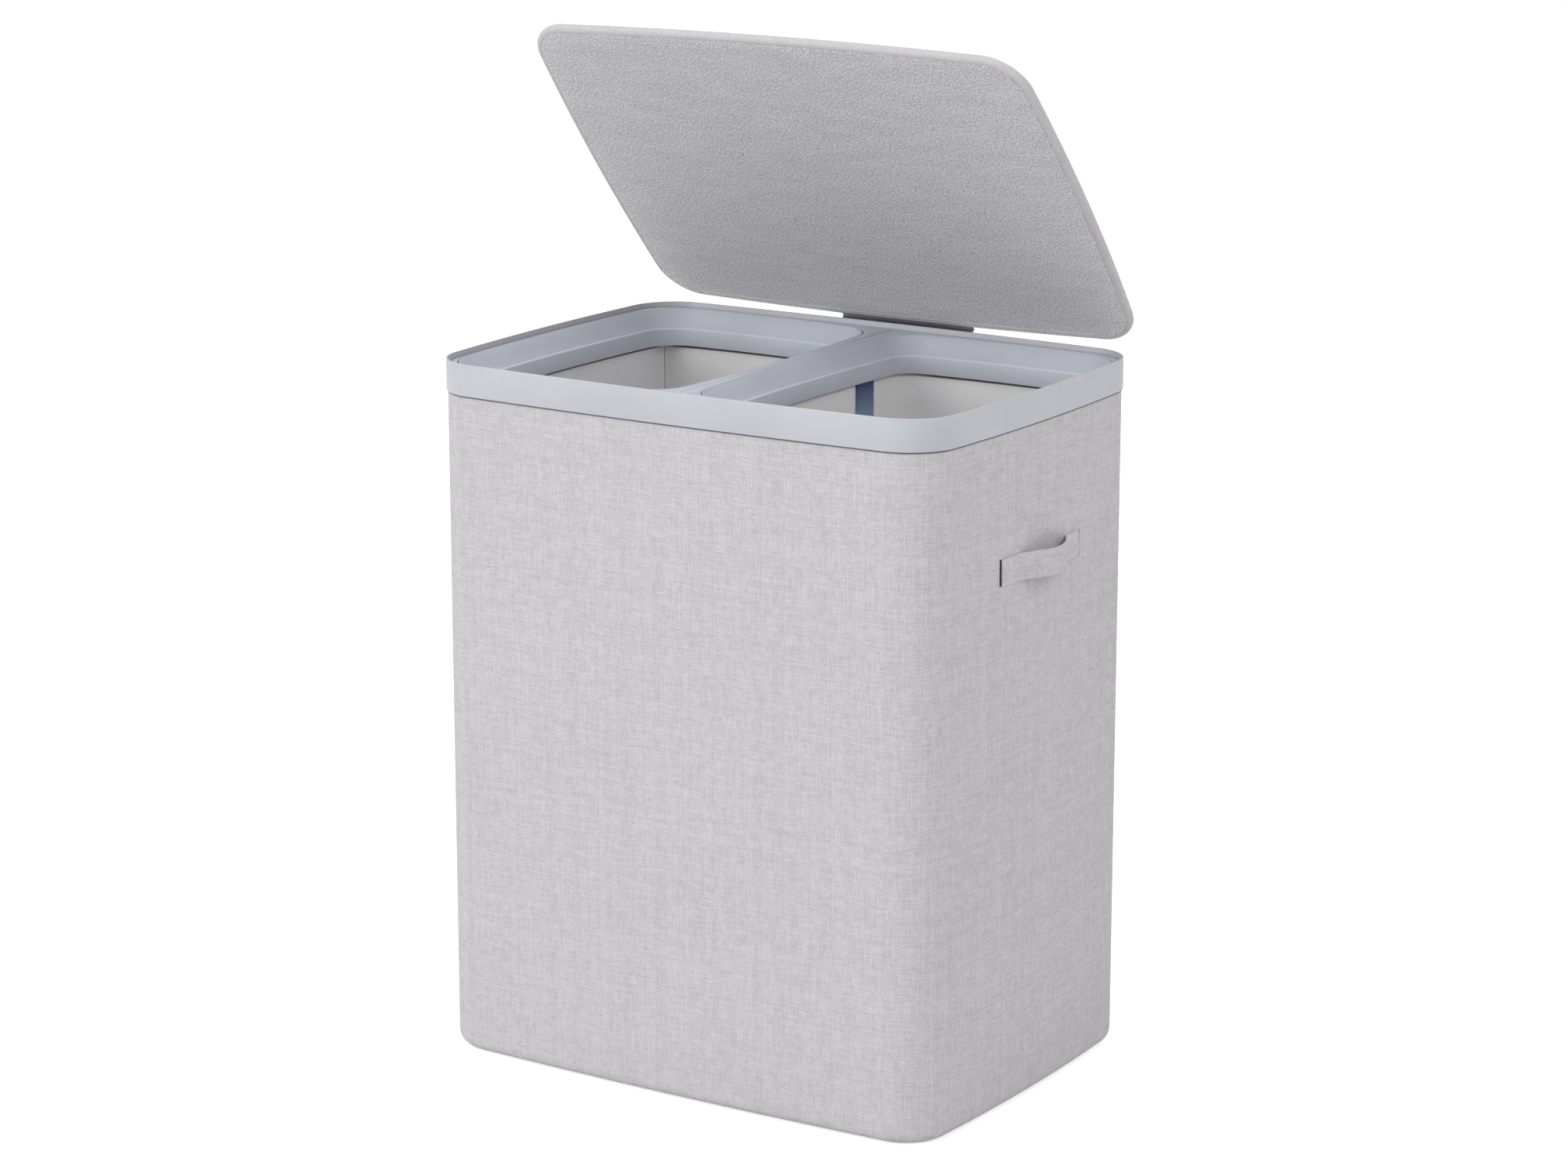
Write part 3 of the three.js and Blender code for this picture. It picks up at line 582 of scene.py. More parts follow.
class Net:
    """A shader tree. Each method adds a node and gives its result."""

    def __init__(self, tree):
        self.tree = tree

    def feed(self, node, inputs):
        """Links results to a node's inputs and sets plain values on the others."""
        for name, value in inputs.items():
            if isinstance(value, bpy.types.NodeSocket):
                self.tree.links.new(value, node.inputs[name])
            else:
                node.inputs[name].default_value = value

    def node(self, kind, inputs=None, **settings):
        """The outputs of a new node."""
        node = self.tree.nodes.new(kind)
        for name, value in settings.items():
            setattr(node, name, value)
        self.feed(node, inputs or {})
        return node.outputs

    def group(self, name, inputs):
        """The outputs of a shared node group, which is made the first time that it is asked for."""
        tree = bpy.data.node_groups.get(name) or SHARED[name]()
        return self.node("ShaderNodeGroup", inputs, node_tree=tree)

    def maths(self, operation, *values):
        """A maths node's result."""
        return self.node("ShaderNodeMath", dict(enumerate(values)), operation=operation)[0]

    def add(self, first, *others):
        """The sum of two numbers or more."""
        for other in others:
            first = self.maths("ADD", first, other)
        return first

    def less(self, a, b):
        """One number less another."""
        return self.maths("SUBTRACT", a, b)

    def times(self, a, b):
        """The product of two numbers."""
        return self.maths("MULTIPLY", a, b)

    def size(self, value):
        """A number without its sign."""
        return self.maths("ABSOLUTE", value)

    def apart(self, a, b):
        """How far two numbers are apart."""
        return self.size(self.less(a, b))

    def mix(self, factor, a, b):
        """A mix of two numbers."""
        return self.node("ShaderNodeMix", {0: factor, 2: a, 3: b}, data_type="FLOAT")[0]

    def tint(self, factor, a, b):
        """A mix of two colours."""
        return self.node("ShaderNodeMix", {0: factor, 6: a, 7: b}, data_type="RGBA")[2]

    def remap(self, value, low, high, to_low=0.0, to_high=1.0):
        """A number taken from one range to another and held there."""
        inputs = {"Value": value, "From Min": low, "From Max": high, "To Min": to_low, "To Max": to_high}
        return self.node("ShaderNodeMapRange", inputs)["Result"]

    def scaled(self, vector, scale):
        """A vector made longer."""
        return self.node("ShaderNodeVectorMath", {0: vector, "Scale": scale}, operation="SCALE")[0]

    def axes(self, vector):
        """A vector's three numbers."""
        return self.node("ShaderNodeSeparateXYZ", {"Vector": vector})

    def point(self, x, y):
        """A vector of two numbers."""
        return self.node("ShaderNodeCombineXYZ", {"X": x, "Y": y})[0]

    def noise(self, vector, scale, detail=2.0, roughness=0.5):
        """Noise between 0 and 1, at one scale or with a scale for each axis."""
        if isinstance(scale, tuple):
            vector = self.node("ShaderNodeMapping", {"Vector": vector, "Scale": scale})["Vector"]
            scale = 1.0
        inputs = {"Vector": vector, "Scale": scale, "Detail": detail, "Roughness": roughness}
        return self.node("ShaderNodeTexNoise", inputs)["Fac"]

    def chance(self, kind, **inputs):
        """One random number for each value or point."""
        return self.node("ShaderNodeTexWhiteNoise", inputs, noise_dimensions=kind)["Value"]

    def uv(self, name):
        """One of a piece's UV maps."""
        return self.node("ShaderNodeUVMap", uv_map=name)["UV"]

    def place(self):
        """The place on the piece, in metres."""
        return self.node("ShaderNodeTexCoord")["Object"]

    def height(self):
        """The height above the floor, in metres."""
        return self.axes(self.place())["Z"]

    def seen(self):
        """One on the camera's own rays and on those that are mirrored or pass through, else none."""
        path = self.node("ShaderNodeLightPath")
        rays = [path[f"Is {kind} Ray"] for kind in ("Camera", "Glossy", "Transmission")]
        return self.maths("MINIMUM", self.add(*rays), 1.0)

    def close(self, **results):
        """Ends a node group with its results, which are all numbers."""
        for title in results:
            self.tree.interface.new_socket(title, in_out="OUTPUT", socket_type="NodeSocketFloat")
        self.feed(self.tree.nodes.new("NodeGroupOutput"), results)
        return self.tree


class Surface(Net):
    """The tree of a new material, with its surface shader in place."""

    def __init__(self, name):
        self.material = bpy.data.materials.new(name)
        self.material.use_nodes = True
        super().__init__(self.material.node_tree)

    def finish(self, base, height, bump, rough, gloss=0.5, sheen=0.0, metal=0.0):
        """Feeds the shader. A bump is its strength and its depth in millimetres."""
        relief = {"Height": height, "Strength": bump[0], "Distance": bump[1] * MM}
        inputs = {
            "Base Color": base, "Normal": self.node("ShaderNodeBump", relief)["Normal"],
            "Roughness": rough, "Specular IOR Level": gloss, "Sheen Weight": sheen, "Metallic": metal,
        }
        self.feed(self.tree.nodes["Principled BSDF"], inputs)
        return self.material


def new_group(name, **numbers):
    """A shader node group with a vector and some numbers as inputs. Gives its net and its inputs."""
    tree = bpy.data.node_groups.new(name, "ShaderNodeTree")
    tree.interface.new_socket("Vector", in_out="INPUT", socket_type="NodeSocketVector")
    for title, value in numbers.items():
        socket = tree.interface.new_socket(title, in_out="INPUT", socket_type="NodeSocketFloat")
        socket.default_value = value
    return Net(tree), tree.nodes.new("NodeGroupInput").outputs


def shade(level, share=1.0):
    """A colour made darker or lighter, with full alpha."""
    return (*(min(1.0, value * share) for value in level), 1.0)


def make_weave_group():
    """Plain weave: two sets of yarns that pass over each other, with thick and thin places and holes."""
    yarn_shade, knot_shade, hole_shade = 0.14, 0.1, 0.65
    line_gap, drawn_out = 7.37, 0.1
    net, source = new_group("plain_weave", Yarns=LINEN_YARNS, Slub=0.5)
    scaled = net.scaled(source["Vector"], source["Yarns"])
    axes = net.axes(scaled)
    wander = net.times(net.noise(scaled, (0.03, 0.03, 0.03)), 3.0)
    runs = [net.add(axes[axis], wander) for axis in "XY"]
    yarns = [net.maths("FLOOR", run) for run in runs]
    over = net.maths("PINGPONG", net.add(*yarns), 1.0)
    rounds = [net.maths("SINE", net.times(net.maths("PINGPONG", run, 0.5), math.pi)) for run in runs]
    slubs = []
    for yarn, along in zip(yarns, reversed(runs)):
        place = net.point(net.times(yarn, line_gap), net.times(along, drawn_out))
        slubs.append(net.remap(net.noise(place, 1.0, 2.0, 0.6), 0.36, 0.6))
    warp_shade, weft_shade = (net.chance("1D", W=yarn) for yarn in yarns)
    tone = net.remap(net.mix(over, weft_shade, warp_shade), 0.0, 1.0, -yarn_shade, yarn_shade)
    knot = net.remap(net.chance("2D", Vector=net.point(*yarns)), 0.0, 1.0, -knot_shade, knot_shade)
    yarn = net.mix(over, rounds[1], rounds[0])
    slub = net.mix(over, slubs[1], slubs[0])
    hole = net.times(*[net.less(1.0, value) for value in rounds])
    both = net.times(net.add(*slubs), 0.5)
    cloth = net.mix(source["Slub"], yarn, net.mix(0.85, slub, both))
    tone = net.add(net.add(tone, knot), net.less(cloth, net.times(hole, hole_shade)))
    return net.close(Height=net.add(net.times(yarn, 0.7), net.times(slub, 0.3)), Tone=tone)


def make_felt_group():
    """Felt: short fibres in all directions, soft clouds and a few dark flecks."""
    net, source = new_group("felt_fibres", Scale=1.0)
    scaled = net.scaled(source["Vector"], source["Scale"])
    sets = ((950, 420, 600), (420, 950, 600), (600, 600, 600))
    fine = net.times(net.add(*[net.noise(scaled, scale, 2.0, 0.6) for scale in sets]), 1 / 3)
    cloud = net.noise(scaled, (20, 80, 80), 3.0, 0.6)
    fleck = net.remap(net.noise(scaled, (150, 90, 90), 1.0), 0.76, 0.8)
    tone = net.remap(net.mix(0.07, fine, cloud), 0.42, 0.58)
    return net.close(Height=fine, Tone=net.less(tone, net.times(fleck, 0.8)))


def make_grain_group():
    """Fine, even grain, as on moulded plastic, with a slower unevenness."""
    net, source = new_group("moulded_grain", Scale=1500.0)
    grain, cloud = (net.noise(source["Vector"], scale) for scale in (source["Scale"], 14.0))
    return net.close(Grain=grain, Cloud=cloud)


def make_stitch_group():
    """A row of stitches: long dashes at a given place across a seam, sunk into the cloth."""
    half_dash = 0.37
    net, source = new_group("stitch_row", Place=2.0 * MM, Pitch=3.0 * MM, Thread=0.6 * MM)
    axes = net.axes(source["Vector"])
    away = net.apart(net.size(axes["Y"]), source["Place"])
    beside = net.maths("DIVIDE", away, source["Thread"])
    dash = net.maths("FRACT", net.maths("DIVIDE", axes["X"], source["Pitch"]))
    inside = net.maths("LESS_THAN", net.apart(dash, 0.5), half_dash)
    line = net.remap(beside, 0.4, 0.6, 1.0, 0.0)
    pucker = net.remap(beside, 0.0, 3.0, 1.0, 0.0)
    return net.close(Thread=net.times(line, inside), Pucker=pucker)


SHARED = {
    "plain_weave": make_weave_group,
    "felt_fibres": make_felt_group,
    "moulded_grain": make_grain_group,
    "stitch_row": make_stitch_group,
}


def stitch_row(net, inputs, inset=None):
    """Masks of a row of stitches and its pucker, kept to the hinge side where an inset is given."""
    row = dict(net.group("stitch_row", {"Vector": net.uv("seam"), **inputs}))
    if inset is not None:
        half = girth_of(np.zeros((1, 2)), outline_of(rim_plan(), inset))[2] / 2
        away = net.apart(net.axes(net.uv("seam"))["X"], half)
        here = net.maths("GREATER_THAN", away, half - HINGE_SIDE)
        row = {title: net.times(value, here) for title, value in row.items()}
    return row


def cover_material(name, stitches=None, inset=None, fold=None, even=0.0, ends=None):
    """Light grey linen: a plain weave of uneven yarns, with painted shade on the cloth just under the rim
    band and painted shade at a strap's ends where they bend into the slits.
    """
    net, light, dark = Surface(name), chosen("finishes").cover_light, chosen("finishes").cover_dark
    weave = net.group("plain_weave", {"Vector": net.uv("weave"), "Yarns": LINEN_YARNS, "Slub": 0.5})
    cloud = net.remap(net.noise(net.uv("weave"), 9.0, 3.0, 0.55), 0.3, 0.7, -0.03, 0.03)
    tone = net.mix(even, net.add(weave["Tone"], cloud), 0.5)
    base = net.tint(tone, shade(dark), shade(light))
    height = weave["Height"]
    if fold:
        # Painted shade: the cloth is darkened where it goes in behind the rim band. It stands in for the
        # shadow under the band.
        above = net.remap(net.height(), fold - 0.6 * MM, fold + 0.2 * MM, 0.0, 0.75)
        base = net.tint(above, base, shade(dark, 0.2))
    if stitches:
        row = stitch_row(net, stitches, inset)
        lighter = net.tint(0.5, shade(light), WHITE)
        bright = 0.25 if ends else 0.9
        base = net.tint(net.times(row["Thread"], bright), base, lighter)
        height = net.add(height, net.times(row["Pucker"], -1.2), net.times(row["Thread"], 1.5))
    if ends:
        # Painted shade: the strap's ends, where they bend into the slits beside the wall, are coloured
        # nearly black. This stands in for the shade inside the slit.
        place = net.axes(net.place())
        painted_slit_shade = net.times(
            net.remap(net.size(place["Y"]), ends - 1.7 * MM, ends - 1.1 * MM, 0.0, 0.95),
            net.remap(net.size(place["X"]), COVER_HIGH.x - 1.3 * MM, COVER_HIGH.x - 0.9 * MM, 1.0, 0.0),
        )
        base = net.tint(painted_slit_shade, base, shade(dark, 0.08))
    return net.finish(base, height, bump=(0.35, 0.35), rough=0.95, gloss=0.2, sheen=0.08)


def lid_linen_material(name):
    """The lid's linen, with a row of light stitches along the hinge side of its underside."""
    sizes = chosen("lid")
    stitches = {"Place": sizes.seam - 1.0 * MM, **LID_STITCHES}
    return cover_material(name, stitches, sizes.margin, even=0.6)


def felt_material(name):
    """Grey felt of the lid's underside, with painted light that makes it lighter towards its foot and darker
    towards its top, and light stitches along its hinge side.
    """
    net, finishes, sizes = Surface(name), chosen("finishes"), chosen("lid")
    felt = net.group("felt_fibres", {"Vector": net.uv("weave"), "Scale": 1.0})
    # Painted light and shade: the felt gets lighter lower down and darker higher up, following how the light
    # falls on it.
    painted_light_by_height = net.remap(net.height(), RIM_HIGH.z + 10 * MM, CAD_HIGH.z - 10 * MM, 0.1, -0.1)
    tone = net.add(felt["Tone"], painted_light_by_height)
    base = net.tint(tone, shade(finishes.felt_dark), shade(finishes.felt_light))
    row = stitch_row(net, {"Place": 3.0 * MM, **LID_STITCHES}, sizes.margin + sizes.seam + sizes.groove / 2)
    base = net.tint(net.times(row["Thread"], 0.8), base, WHITE)
    return net.finish(base, felt["Height"], bump=(0.25, 0.4), rough=1.0, gloss=0.1, sheen=0.1)


def lining_material(name, seams=()):
    """Light, smooth lining cloth. A bag's has sewn seams at given places, and painted shade just under the
    collar that is weaker beside the divider.
    """
    net, light, dark = Surface(name), chosen("finishes").lining_light, chosen("finishes").lining_dark
    weave = net.group("plain_weave", {"Vector": net.uv("weave"), "Yarns": LINING_YARNS, "Slub": 0.6})
    cloud = net.remap(net.noise(net.uv("weave"), 12.0, 3.0, 0.6), 0.3, 0.7)
    base = net.tint(net.mix(0.7, weave["Tone"], cloud), shade(dark), shade(light))
    height = weave["Height"]
    along = net.axes(net.uv("seam"))["X"]
    for seam in seams:
        line = net.remap(net.apart(along, seam), 0.3 * MM, 0.6 * MM, 1.0, 0.0)
        base = net.tint(net.times(line, 0.85), base, shade(dark, 0.3))
        height = net.less(height, net.times(line, 3.0))
    if seams:
        # Painted shade: a dark band on the bag just under the collar's lower edge, standing for the shadow
        # in the gap. It is weaker beside the divider.
        place, foot = net.axes(net.place()), collar_foot()
        gap = net.remap(place["Z"], foot - 3.2 * MM, foot - 2.3 * MM, 0.0, 0.95)
        beside = net.remap(net.size(place["X"]), BAG_LOW.x + 8 * MM, BAG_LOW.x + 40 * MM, 0.3, 1.0)
        base = net.tint(net.times(gap, beside), base, shade(dark, 0.1))
    return net.finish(base, height, bump=(0.25, 0.15), rough=0.85, gloss=0.25, sheen=0.1)


def tape_material(name):
    """Navy tape: a close weave with stitches beside both edges, and painted light that makes it paler lower
    down, away from the shade under the collar.
    """
    net, tape = Surface(name), chosen("finishes").tape
    weave = net.group("plain_weave", {"Vector": net.uv("weave"), "Yarns": TAPE_YARNS, "Slub": 0.4})
    row = net.group("stitch_row", {"Vector": net.uv("seam"), "Place": 11.5 * MM})
    base = net.tint(weave["Tone"], shade(tape, 0.72), shade(tape, 1.25))
    base = net.tint(row["Thread"], base, shade(tape, 1.7))
    # Painted light: the tape turns paler lower down, where more light falls on it, and stays dark near the
    # collar.
    painted_light_share = net.remap(net.height(), TAPE_HIGH.z - 26 * MM, TAPE_HIGH.z - 3 * MM, 1.0, 0.0)
    base = net.tint(painted_light_share, base, shade(chosen("finishes").tape_painted_light))
    return net.finish(base, weave["Height"], bump=(0.5, 0.3), rough=0.7, sheen=0.3)


def plastic_material(name):
    """Blue-grey satin plastic, with a painted highlight on a ring's step, painted shade in the deck's wells
    and painted shade inside the lip.
    """
    net, satin = Surface(name), name == "satin_plastic"
    level = chosen("finishes").plastic if satin else chosen("finishes").funnel
    grain = net.group("moulded_grain", {"Vector": net.place()})
    tone = net.remap(grain["Cloud"], 0.35, 0.65)
    base = net.tint(tone, shade(level, 0.97), shade(level, 1.03))
    height = net.height()
    if satin:
        # Painted shade: the lip's marked inner faces, and most of all their foot, are darkened to stand for
        # shade and dark reflections there.
        inner = net.node("ShaderNodeAttribute", attribute_name="lip")["Fac"]
        low = net.remap(height, DECK_Z + 0.2 * MM, DECK_Z + 1.2 * MM, 0.45, 0.0)
        low = net.times(low, net.maths("GREATER_THAN", inner, 0.05))
        base = net.tint(net.add(low, net.times(inner, 0.5)), base, shade(level, 0.45))
    elif name == "deck_plastic":
        # Painted shade: the deck gets darker down inside the well around each ring, where the gap lies in
        # shade.
        well = net.remap(height, DECK_Z - 2.0 * MM, DECK_Z - 0.5 * MM, 0.85, 0.0)
        base = net.tint(well, base, shade(level, 0.1))
    else:
        # Painted highlight: a light band along the step between the slope and the collar, where the rounded
        # edge catches the light.
        painted_step_highlight = net.remap(net.apart(height, step_height()), 0.2 * MM, 0.9 * MM, 0.5, 0.0)
        base = net.tint(painted_step_highlight, base, PAINTED_HIGHLIGHT_COLOUR)
    rough = net.remap(grain["Grain"], 0.3, 0.7, 0.42, 0.54)
    return net.finish(base, grain["Grain"], bump=(0.1, 0.05), rough=rough, gloss=0.4)


def steel_material(name):
    """Plated steel with fine drawing lines, or the same under grey paint."""
    net, steel, plated = Surface(name), chosen("finishes").steel, name == "plated_steel"
    lines = net.noise(net.place(), (60, 2400, 2400))
    level = 1.0 if plated else 0.6
    base = net.tint(lines, shade(steel, level * 0.9), shade(steel, level * 1.08))
    rough = net.remap(lines, 0.3, 0.7, 0.28, 0.42)
    return net.finish(base, lines, bump=(0.05, 0.03), rough=rough, metal=float(plated))


def fibre_material(name, level, scale, dark, rough, bump):
    """Pressed board or wadding: short fibres of one colour."""
    net = Surface(name)
    felt = net.group("felt_fibres", {"Vector": net.place(), "Scale": scale})
    base = net.tint(felt["Tone"], shade(level, dark), shade(level))
    return net.finish(base, felt["Height"], bump, rough)


def step_height():
    """Height of the step between a ring's slope and its collar."""
    sizes = chosen("bins")
    return DECK_Z - sizes.slope_drop - sizes.step / 4


def collar_foot():
    """Height of the lower edge of a ring's collar."""
    sizes = chosen("bins")
    return DECK_Z - sizes.slope_drop - sizes.step / 2 - sizes.collar


def fold_height():
    """Height at which the cover goes in behind the rim band."""
    return RIM_LOW.z - chosen("body").tuck_height


def finish(name):
    """One of the hamper's materials, made the first time that it is asked for."""
    colours = chosen("finishes")
    makers = {
        "cover_linen": cover_material,
        "body_linen": lambda name: cover_material(name, fold=fold_height()),
        "strap_linen": lambda name: cover_material(name, STRAP_STITCHES, ends=HANDLE_HIGH.y),
        "lid_linen": lid_linen_material,
        "lid_felt": felt_material,
        "bag_lining": lining_material,
        "bag_cloth": lambda name: lining_material(name, bag_seams()),
        "navy_tape": tape_material,
        "satin_plastic": plastic_material,
        "ring_plastic": plastic_material,
        "deck_plastic": plastic_material,
        "plated_steel": steel_material,
        "painted_steel": steel_material,
        "pressed_board": lambda name: fibre_material(
            name, colours.board, scale=0.5, dark=0.8, rough=0.85, bump=(0.2, 0.2)
        ),
        "wadding": lambda name: fibre_material(
            name, colours.wadding, scale=0.4, dark=0.85, rough=1.0, bump=(0.8, 1.0)
        ),
    }
    return bpy.data.materials.get(name) or makers[name](name)


# Plans of the pieces


def rim_plan():
    """The rim's outer outline."""
    sizes = chosen("body")
    return Plan(RIM_HIGH.x, RIM_HIGH.y, (sizes.corner, sizes.corner), sizes.front_bow, sizes.side_bow)


def ring_plan():
    """The outline of the right bin's ring."""
    sizes = chosen("bins")
    half_x, half_y = (RING_HIGH.x - RING_LOW.x) / 2, RING_HIGH.y
    corners = (sizes.outer_corner, sizes.divider_corner)
    return Plan(half_x, half_y, corners, sizes.end_bow, sizes.side_bow, (RING_LOW.x + RING_HIGH.x) / 2)


def bag_plan():
    """The outline of the right bag's walls."""
    sizes = chosen("bins")
    ring = ring_plan()
    corners = (sizes.bag_outer_corner, sizes.bag_divider_corner)
    half = ring.half - Vector((sizes.setback, sizes.setback))
    return Plan(half.x, half.y, corners, sizes.end_bow, sizes.side_bow, ring.centre)


def bag_seams():
    """Places of the bag's two upright seams along its outline, at the corners away from the divider."""
    plan = bag_plan()
    radius = plan.corners[0] * plan.corner_share
    corner = [plan.square.x - radius * 0.3, plan.square.y - radius * 0.3]
    ends = [plan.bowed(plan.centre + corner[0], corner[1] * end) for end in (1, -1)]
    return [float(place) for place in girth_of(np.array(ends), outline_of(plan))[0]]


class HAMPER_OT_cover(bpy.types.Operator):
    """Builds the cloth cover of the body and the lining inside its boards"""

    bl_idname = "hamper.cover"
    bl_label = "Cover and lining"

    def execute(self, context):
        sizes, plan = chosen("body"), rim_plan()
        cover = self.cup(plan, sizes)
        bow(cover, plan)
        face_outwards(cover)
        thicken(cover, sizes.cloth)
        self.tuck_in(cover, plan, sizes)
        for side in (1, -1):
            for end in (1, -1):
                self.slit(cover, side, end)
        lay_cloth(cover, plan)
        smooth(cover)
        dress(cover, "hamper_body", finish("body_linen"), "cover_cloth", "outer_cover")
        lining = self.sleeve(plan)
        dress(lining, "hamper_body", finish("bag_lining"), "lining_cloth", "inner_lining")
        return {"FINISHED"}

    def cup(self, plan, sizes):
        """A deep cup, drawn down from its open top and closed by a rounded bottom."""
        top, fold = COVER_HIGH.z, fold_height()
        piece = start_plate("cover_shell", plan, sizes.cover_setback, top)
        step(0, RIM_LOW.z - top)
        steps(3, 0, -sizes.tuck_height)
        steps(12, 0, sizes.foot_round - fold)
        round_edge(sizes.foot_round, 8, -1)
        step(30 * MM, 0)
        open_start(piece, top)
        return piece

    def tuck_in(self, cover, plan, sizes):
        """Draws the cover's outer face in under the rim band, over a small round shoulder."""
        edit(cover)
        for share, level in ((0.3, 2), (0.7, 3)):  # each of the groove's upper two edges, and all above it
            low = RIM_LOW.z - sizes.tuck_height * (1 - (level - 0.5) / 3)
            pick(cover, lambda v: v.co.z > low and v.co.xy.dot(v.normal.xy) > 0, "VERT")
            inward = sizes.tuck * share
            scale = (1 - inward / plan.half.x, 1 - inward / plan.half.y, 1)
            bpy.ops.transform.resize(value=scale, center_override=(0, 0, RIM_LOW.z))
        settle()

    def slit(self, cover, side, end):
        """Cuts the slit that one end of a handle goes through."""
        sizes = chosen("handles")
        near = end * (HANDLE_HIGH.y - sizes.thickness - sizes.slit_width / 4)
        far = end * (HANDLE_HIGH.y + sizes.slit_width)
        xs = sorted(side * (COVER_HIGH.x + reach) for reach in (-THROUGH, THROUGH))
        ys = sorted((near, far))
        cut_away(cover, block("slit_cutter", (xs[0], ys[0], HANDLE_LOW.z), (xs[1], ys[1], HANDLE_HIGH.z)))

    def sleeve(self, plan):
        """The thin lining that covers the boards on the inside."""
        setback = RIM_HIGH.x - LINING_HIGH.x
        piece = start_plate("wall_lining", plan, setback, LINING_HIGH.z)
        steps(6, 0, LINING_LOW.z - LINING_HIGH.z)
        open_end()
        open_start(piece, LINING_HIGH.z)
        bow(piece, plan)
        face_outwards(piece)
        thicken(piece, LINING_WALL)
        lay_cloth(piece, plan, setback)
        smooth(piece)
        return piece


class HAMPER_OT_rim(bpy.types.Operator):
    """Builds the moulded rim band and the two halves of the deck"""

    bl_idname = "hamper.rim"
    bl_label = "Rim and deck"

    def execute(self, context):
        sizes, plan = chosen("body"), rim_plan()
        band = self.band(plan, sizes)
        dress(band, "hamper_body", finish("satin_plastic"), "grey_plastic", "rim_band")
        dress_pair(self.deck(plan, sizes), "left_deck", 35, "deck_plastic", "grey_plastic", "bin_seat")
        return {"FINISHED"}

    def band(self, plan, sizes):
        """The band's outer wall, its rounded lip and the lip's sloping inner face."""
        piece = start_plate("rim_moulding", plan, 0, RIM_LOW.z)
        step(0, RIM_HIGH.z - RIM_LOW.z - sizes.lip_round)
        round_edge(sizes.lip_round, 3)
        step(sizes.lip_width - 2 * sizes.lip_round, 0)
        round_edge(sizes.lip_round, 3, -1, opening=True)
        drop = RIM_HIGH.z - DECK_Z - sizes.lip_round
        step(sizes.lip_foot - sizes.lip_width, -drop)
        step(0, -sizes.web_drop)
        open_end()
        open_start(piece, RIM_LOW.z)
        bow(piece, plan)
        thicken(piece, sizes.band_wall)
        ease_edges(piece, 0.2 * MM)
        smooth(piece, 40)
        self.mark_painted_lip_shade(piece)
        return piece

    def mark_painted_lip_shade(self, piece):
        """Marks the lip's inner faces, most of all those on the short sides, for the plastic's painted
        shade.
        """
        inner = piece.data.attributes.new("lip", "FLOAT", "CORNER")
        for face in piece.data.polygons:
            flat = face.center.xy
            inside = face.normal.xy.dot(flat) < -0.3 * flat.length and face.center.z > DECK_Z - 1 * MM
            for loop in face.loop_indices:
                inner.data[loop].value = inside * (0.2 + 0.8 * abs(face.normal.x))

    def deck(self, plan, sizes):
        """The right half of the deck, with the well that the bin's ring drops into."""
        bins = chosen("bins")
        piece = start_plate("right_deck", plan, sizes.lip_foot + sizes.deck_gap, DECK_Z - sizes.deck)
        step(0, sizes.deck)
        face_outwards(piece)
        bow(piece, plan)
        far = plan.half.x * 2
        cut_away(piece, block("half_cutter", (-far, -far, 0), (sizes.split_gap / 2, far, 1)))
        cutters = (
            ("well_cutter", -bins.seat_gap, DECK_Z - bins.flange - bins.seat_gap, 20 * MM),
            ("throat_cutter", bins.flat + 2 * MM, DECK_Z - 30 * MM, 50 * MM),
        )
        ring = ring_plan()
        for name, inset, foot, height in cutters:
            cutter = start_plate(name, ring, inset, foot)
            step(0, height)
            face_outwards(cutter)
            bow(cutter, ring)
            cut_away(piece, cutter)
        ease_edges(piece, 0.25 * MM)
        return piece


class HAMPER_OT_rings(bpy.types.Operator):
    """Builds the two plastic rings with their funnel slopes and collars"""

    bl_idname = "hamper.rings"
    bl_label = "Bin rings"

    def execute(self, context):
        sizes, plan = chosen("bins"), ring_plan()
        ring = start_plate("right_funnel", plan, 0, DECK_Z - sizes.flange)
        step(0, sizes.flange - sizes.edge)
        round_edge(sizes.edge, 3)
        step(sizes.flat - sizes.edge, 0)
        steps(3, sizes.slope_run, -sizes.slope_drop)
        step(sizes.step / 2, 0)
        round_edge(sizes.step / 2, 2, -1, opening=True)
        steps(2, sizes.draft, -sizes.collar)
        open_end()
        open_start(ring, DECK_Z - sizes.flange)
        bow(ring, plan)
        thicken(ring, sizes.wall)
        ease_edges(ring, 0.2 * MM, degrees=40)
        dress_pair(ring, "left_funnel", 40, "ring_plastic", "grey_plastic", "bin_ring")
        return {"FINISHED"}


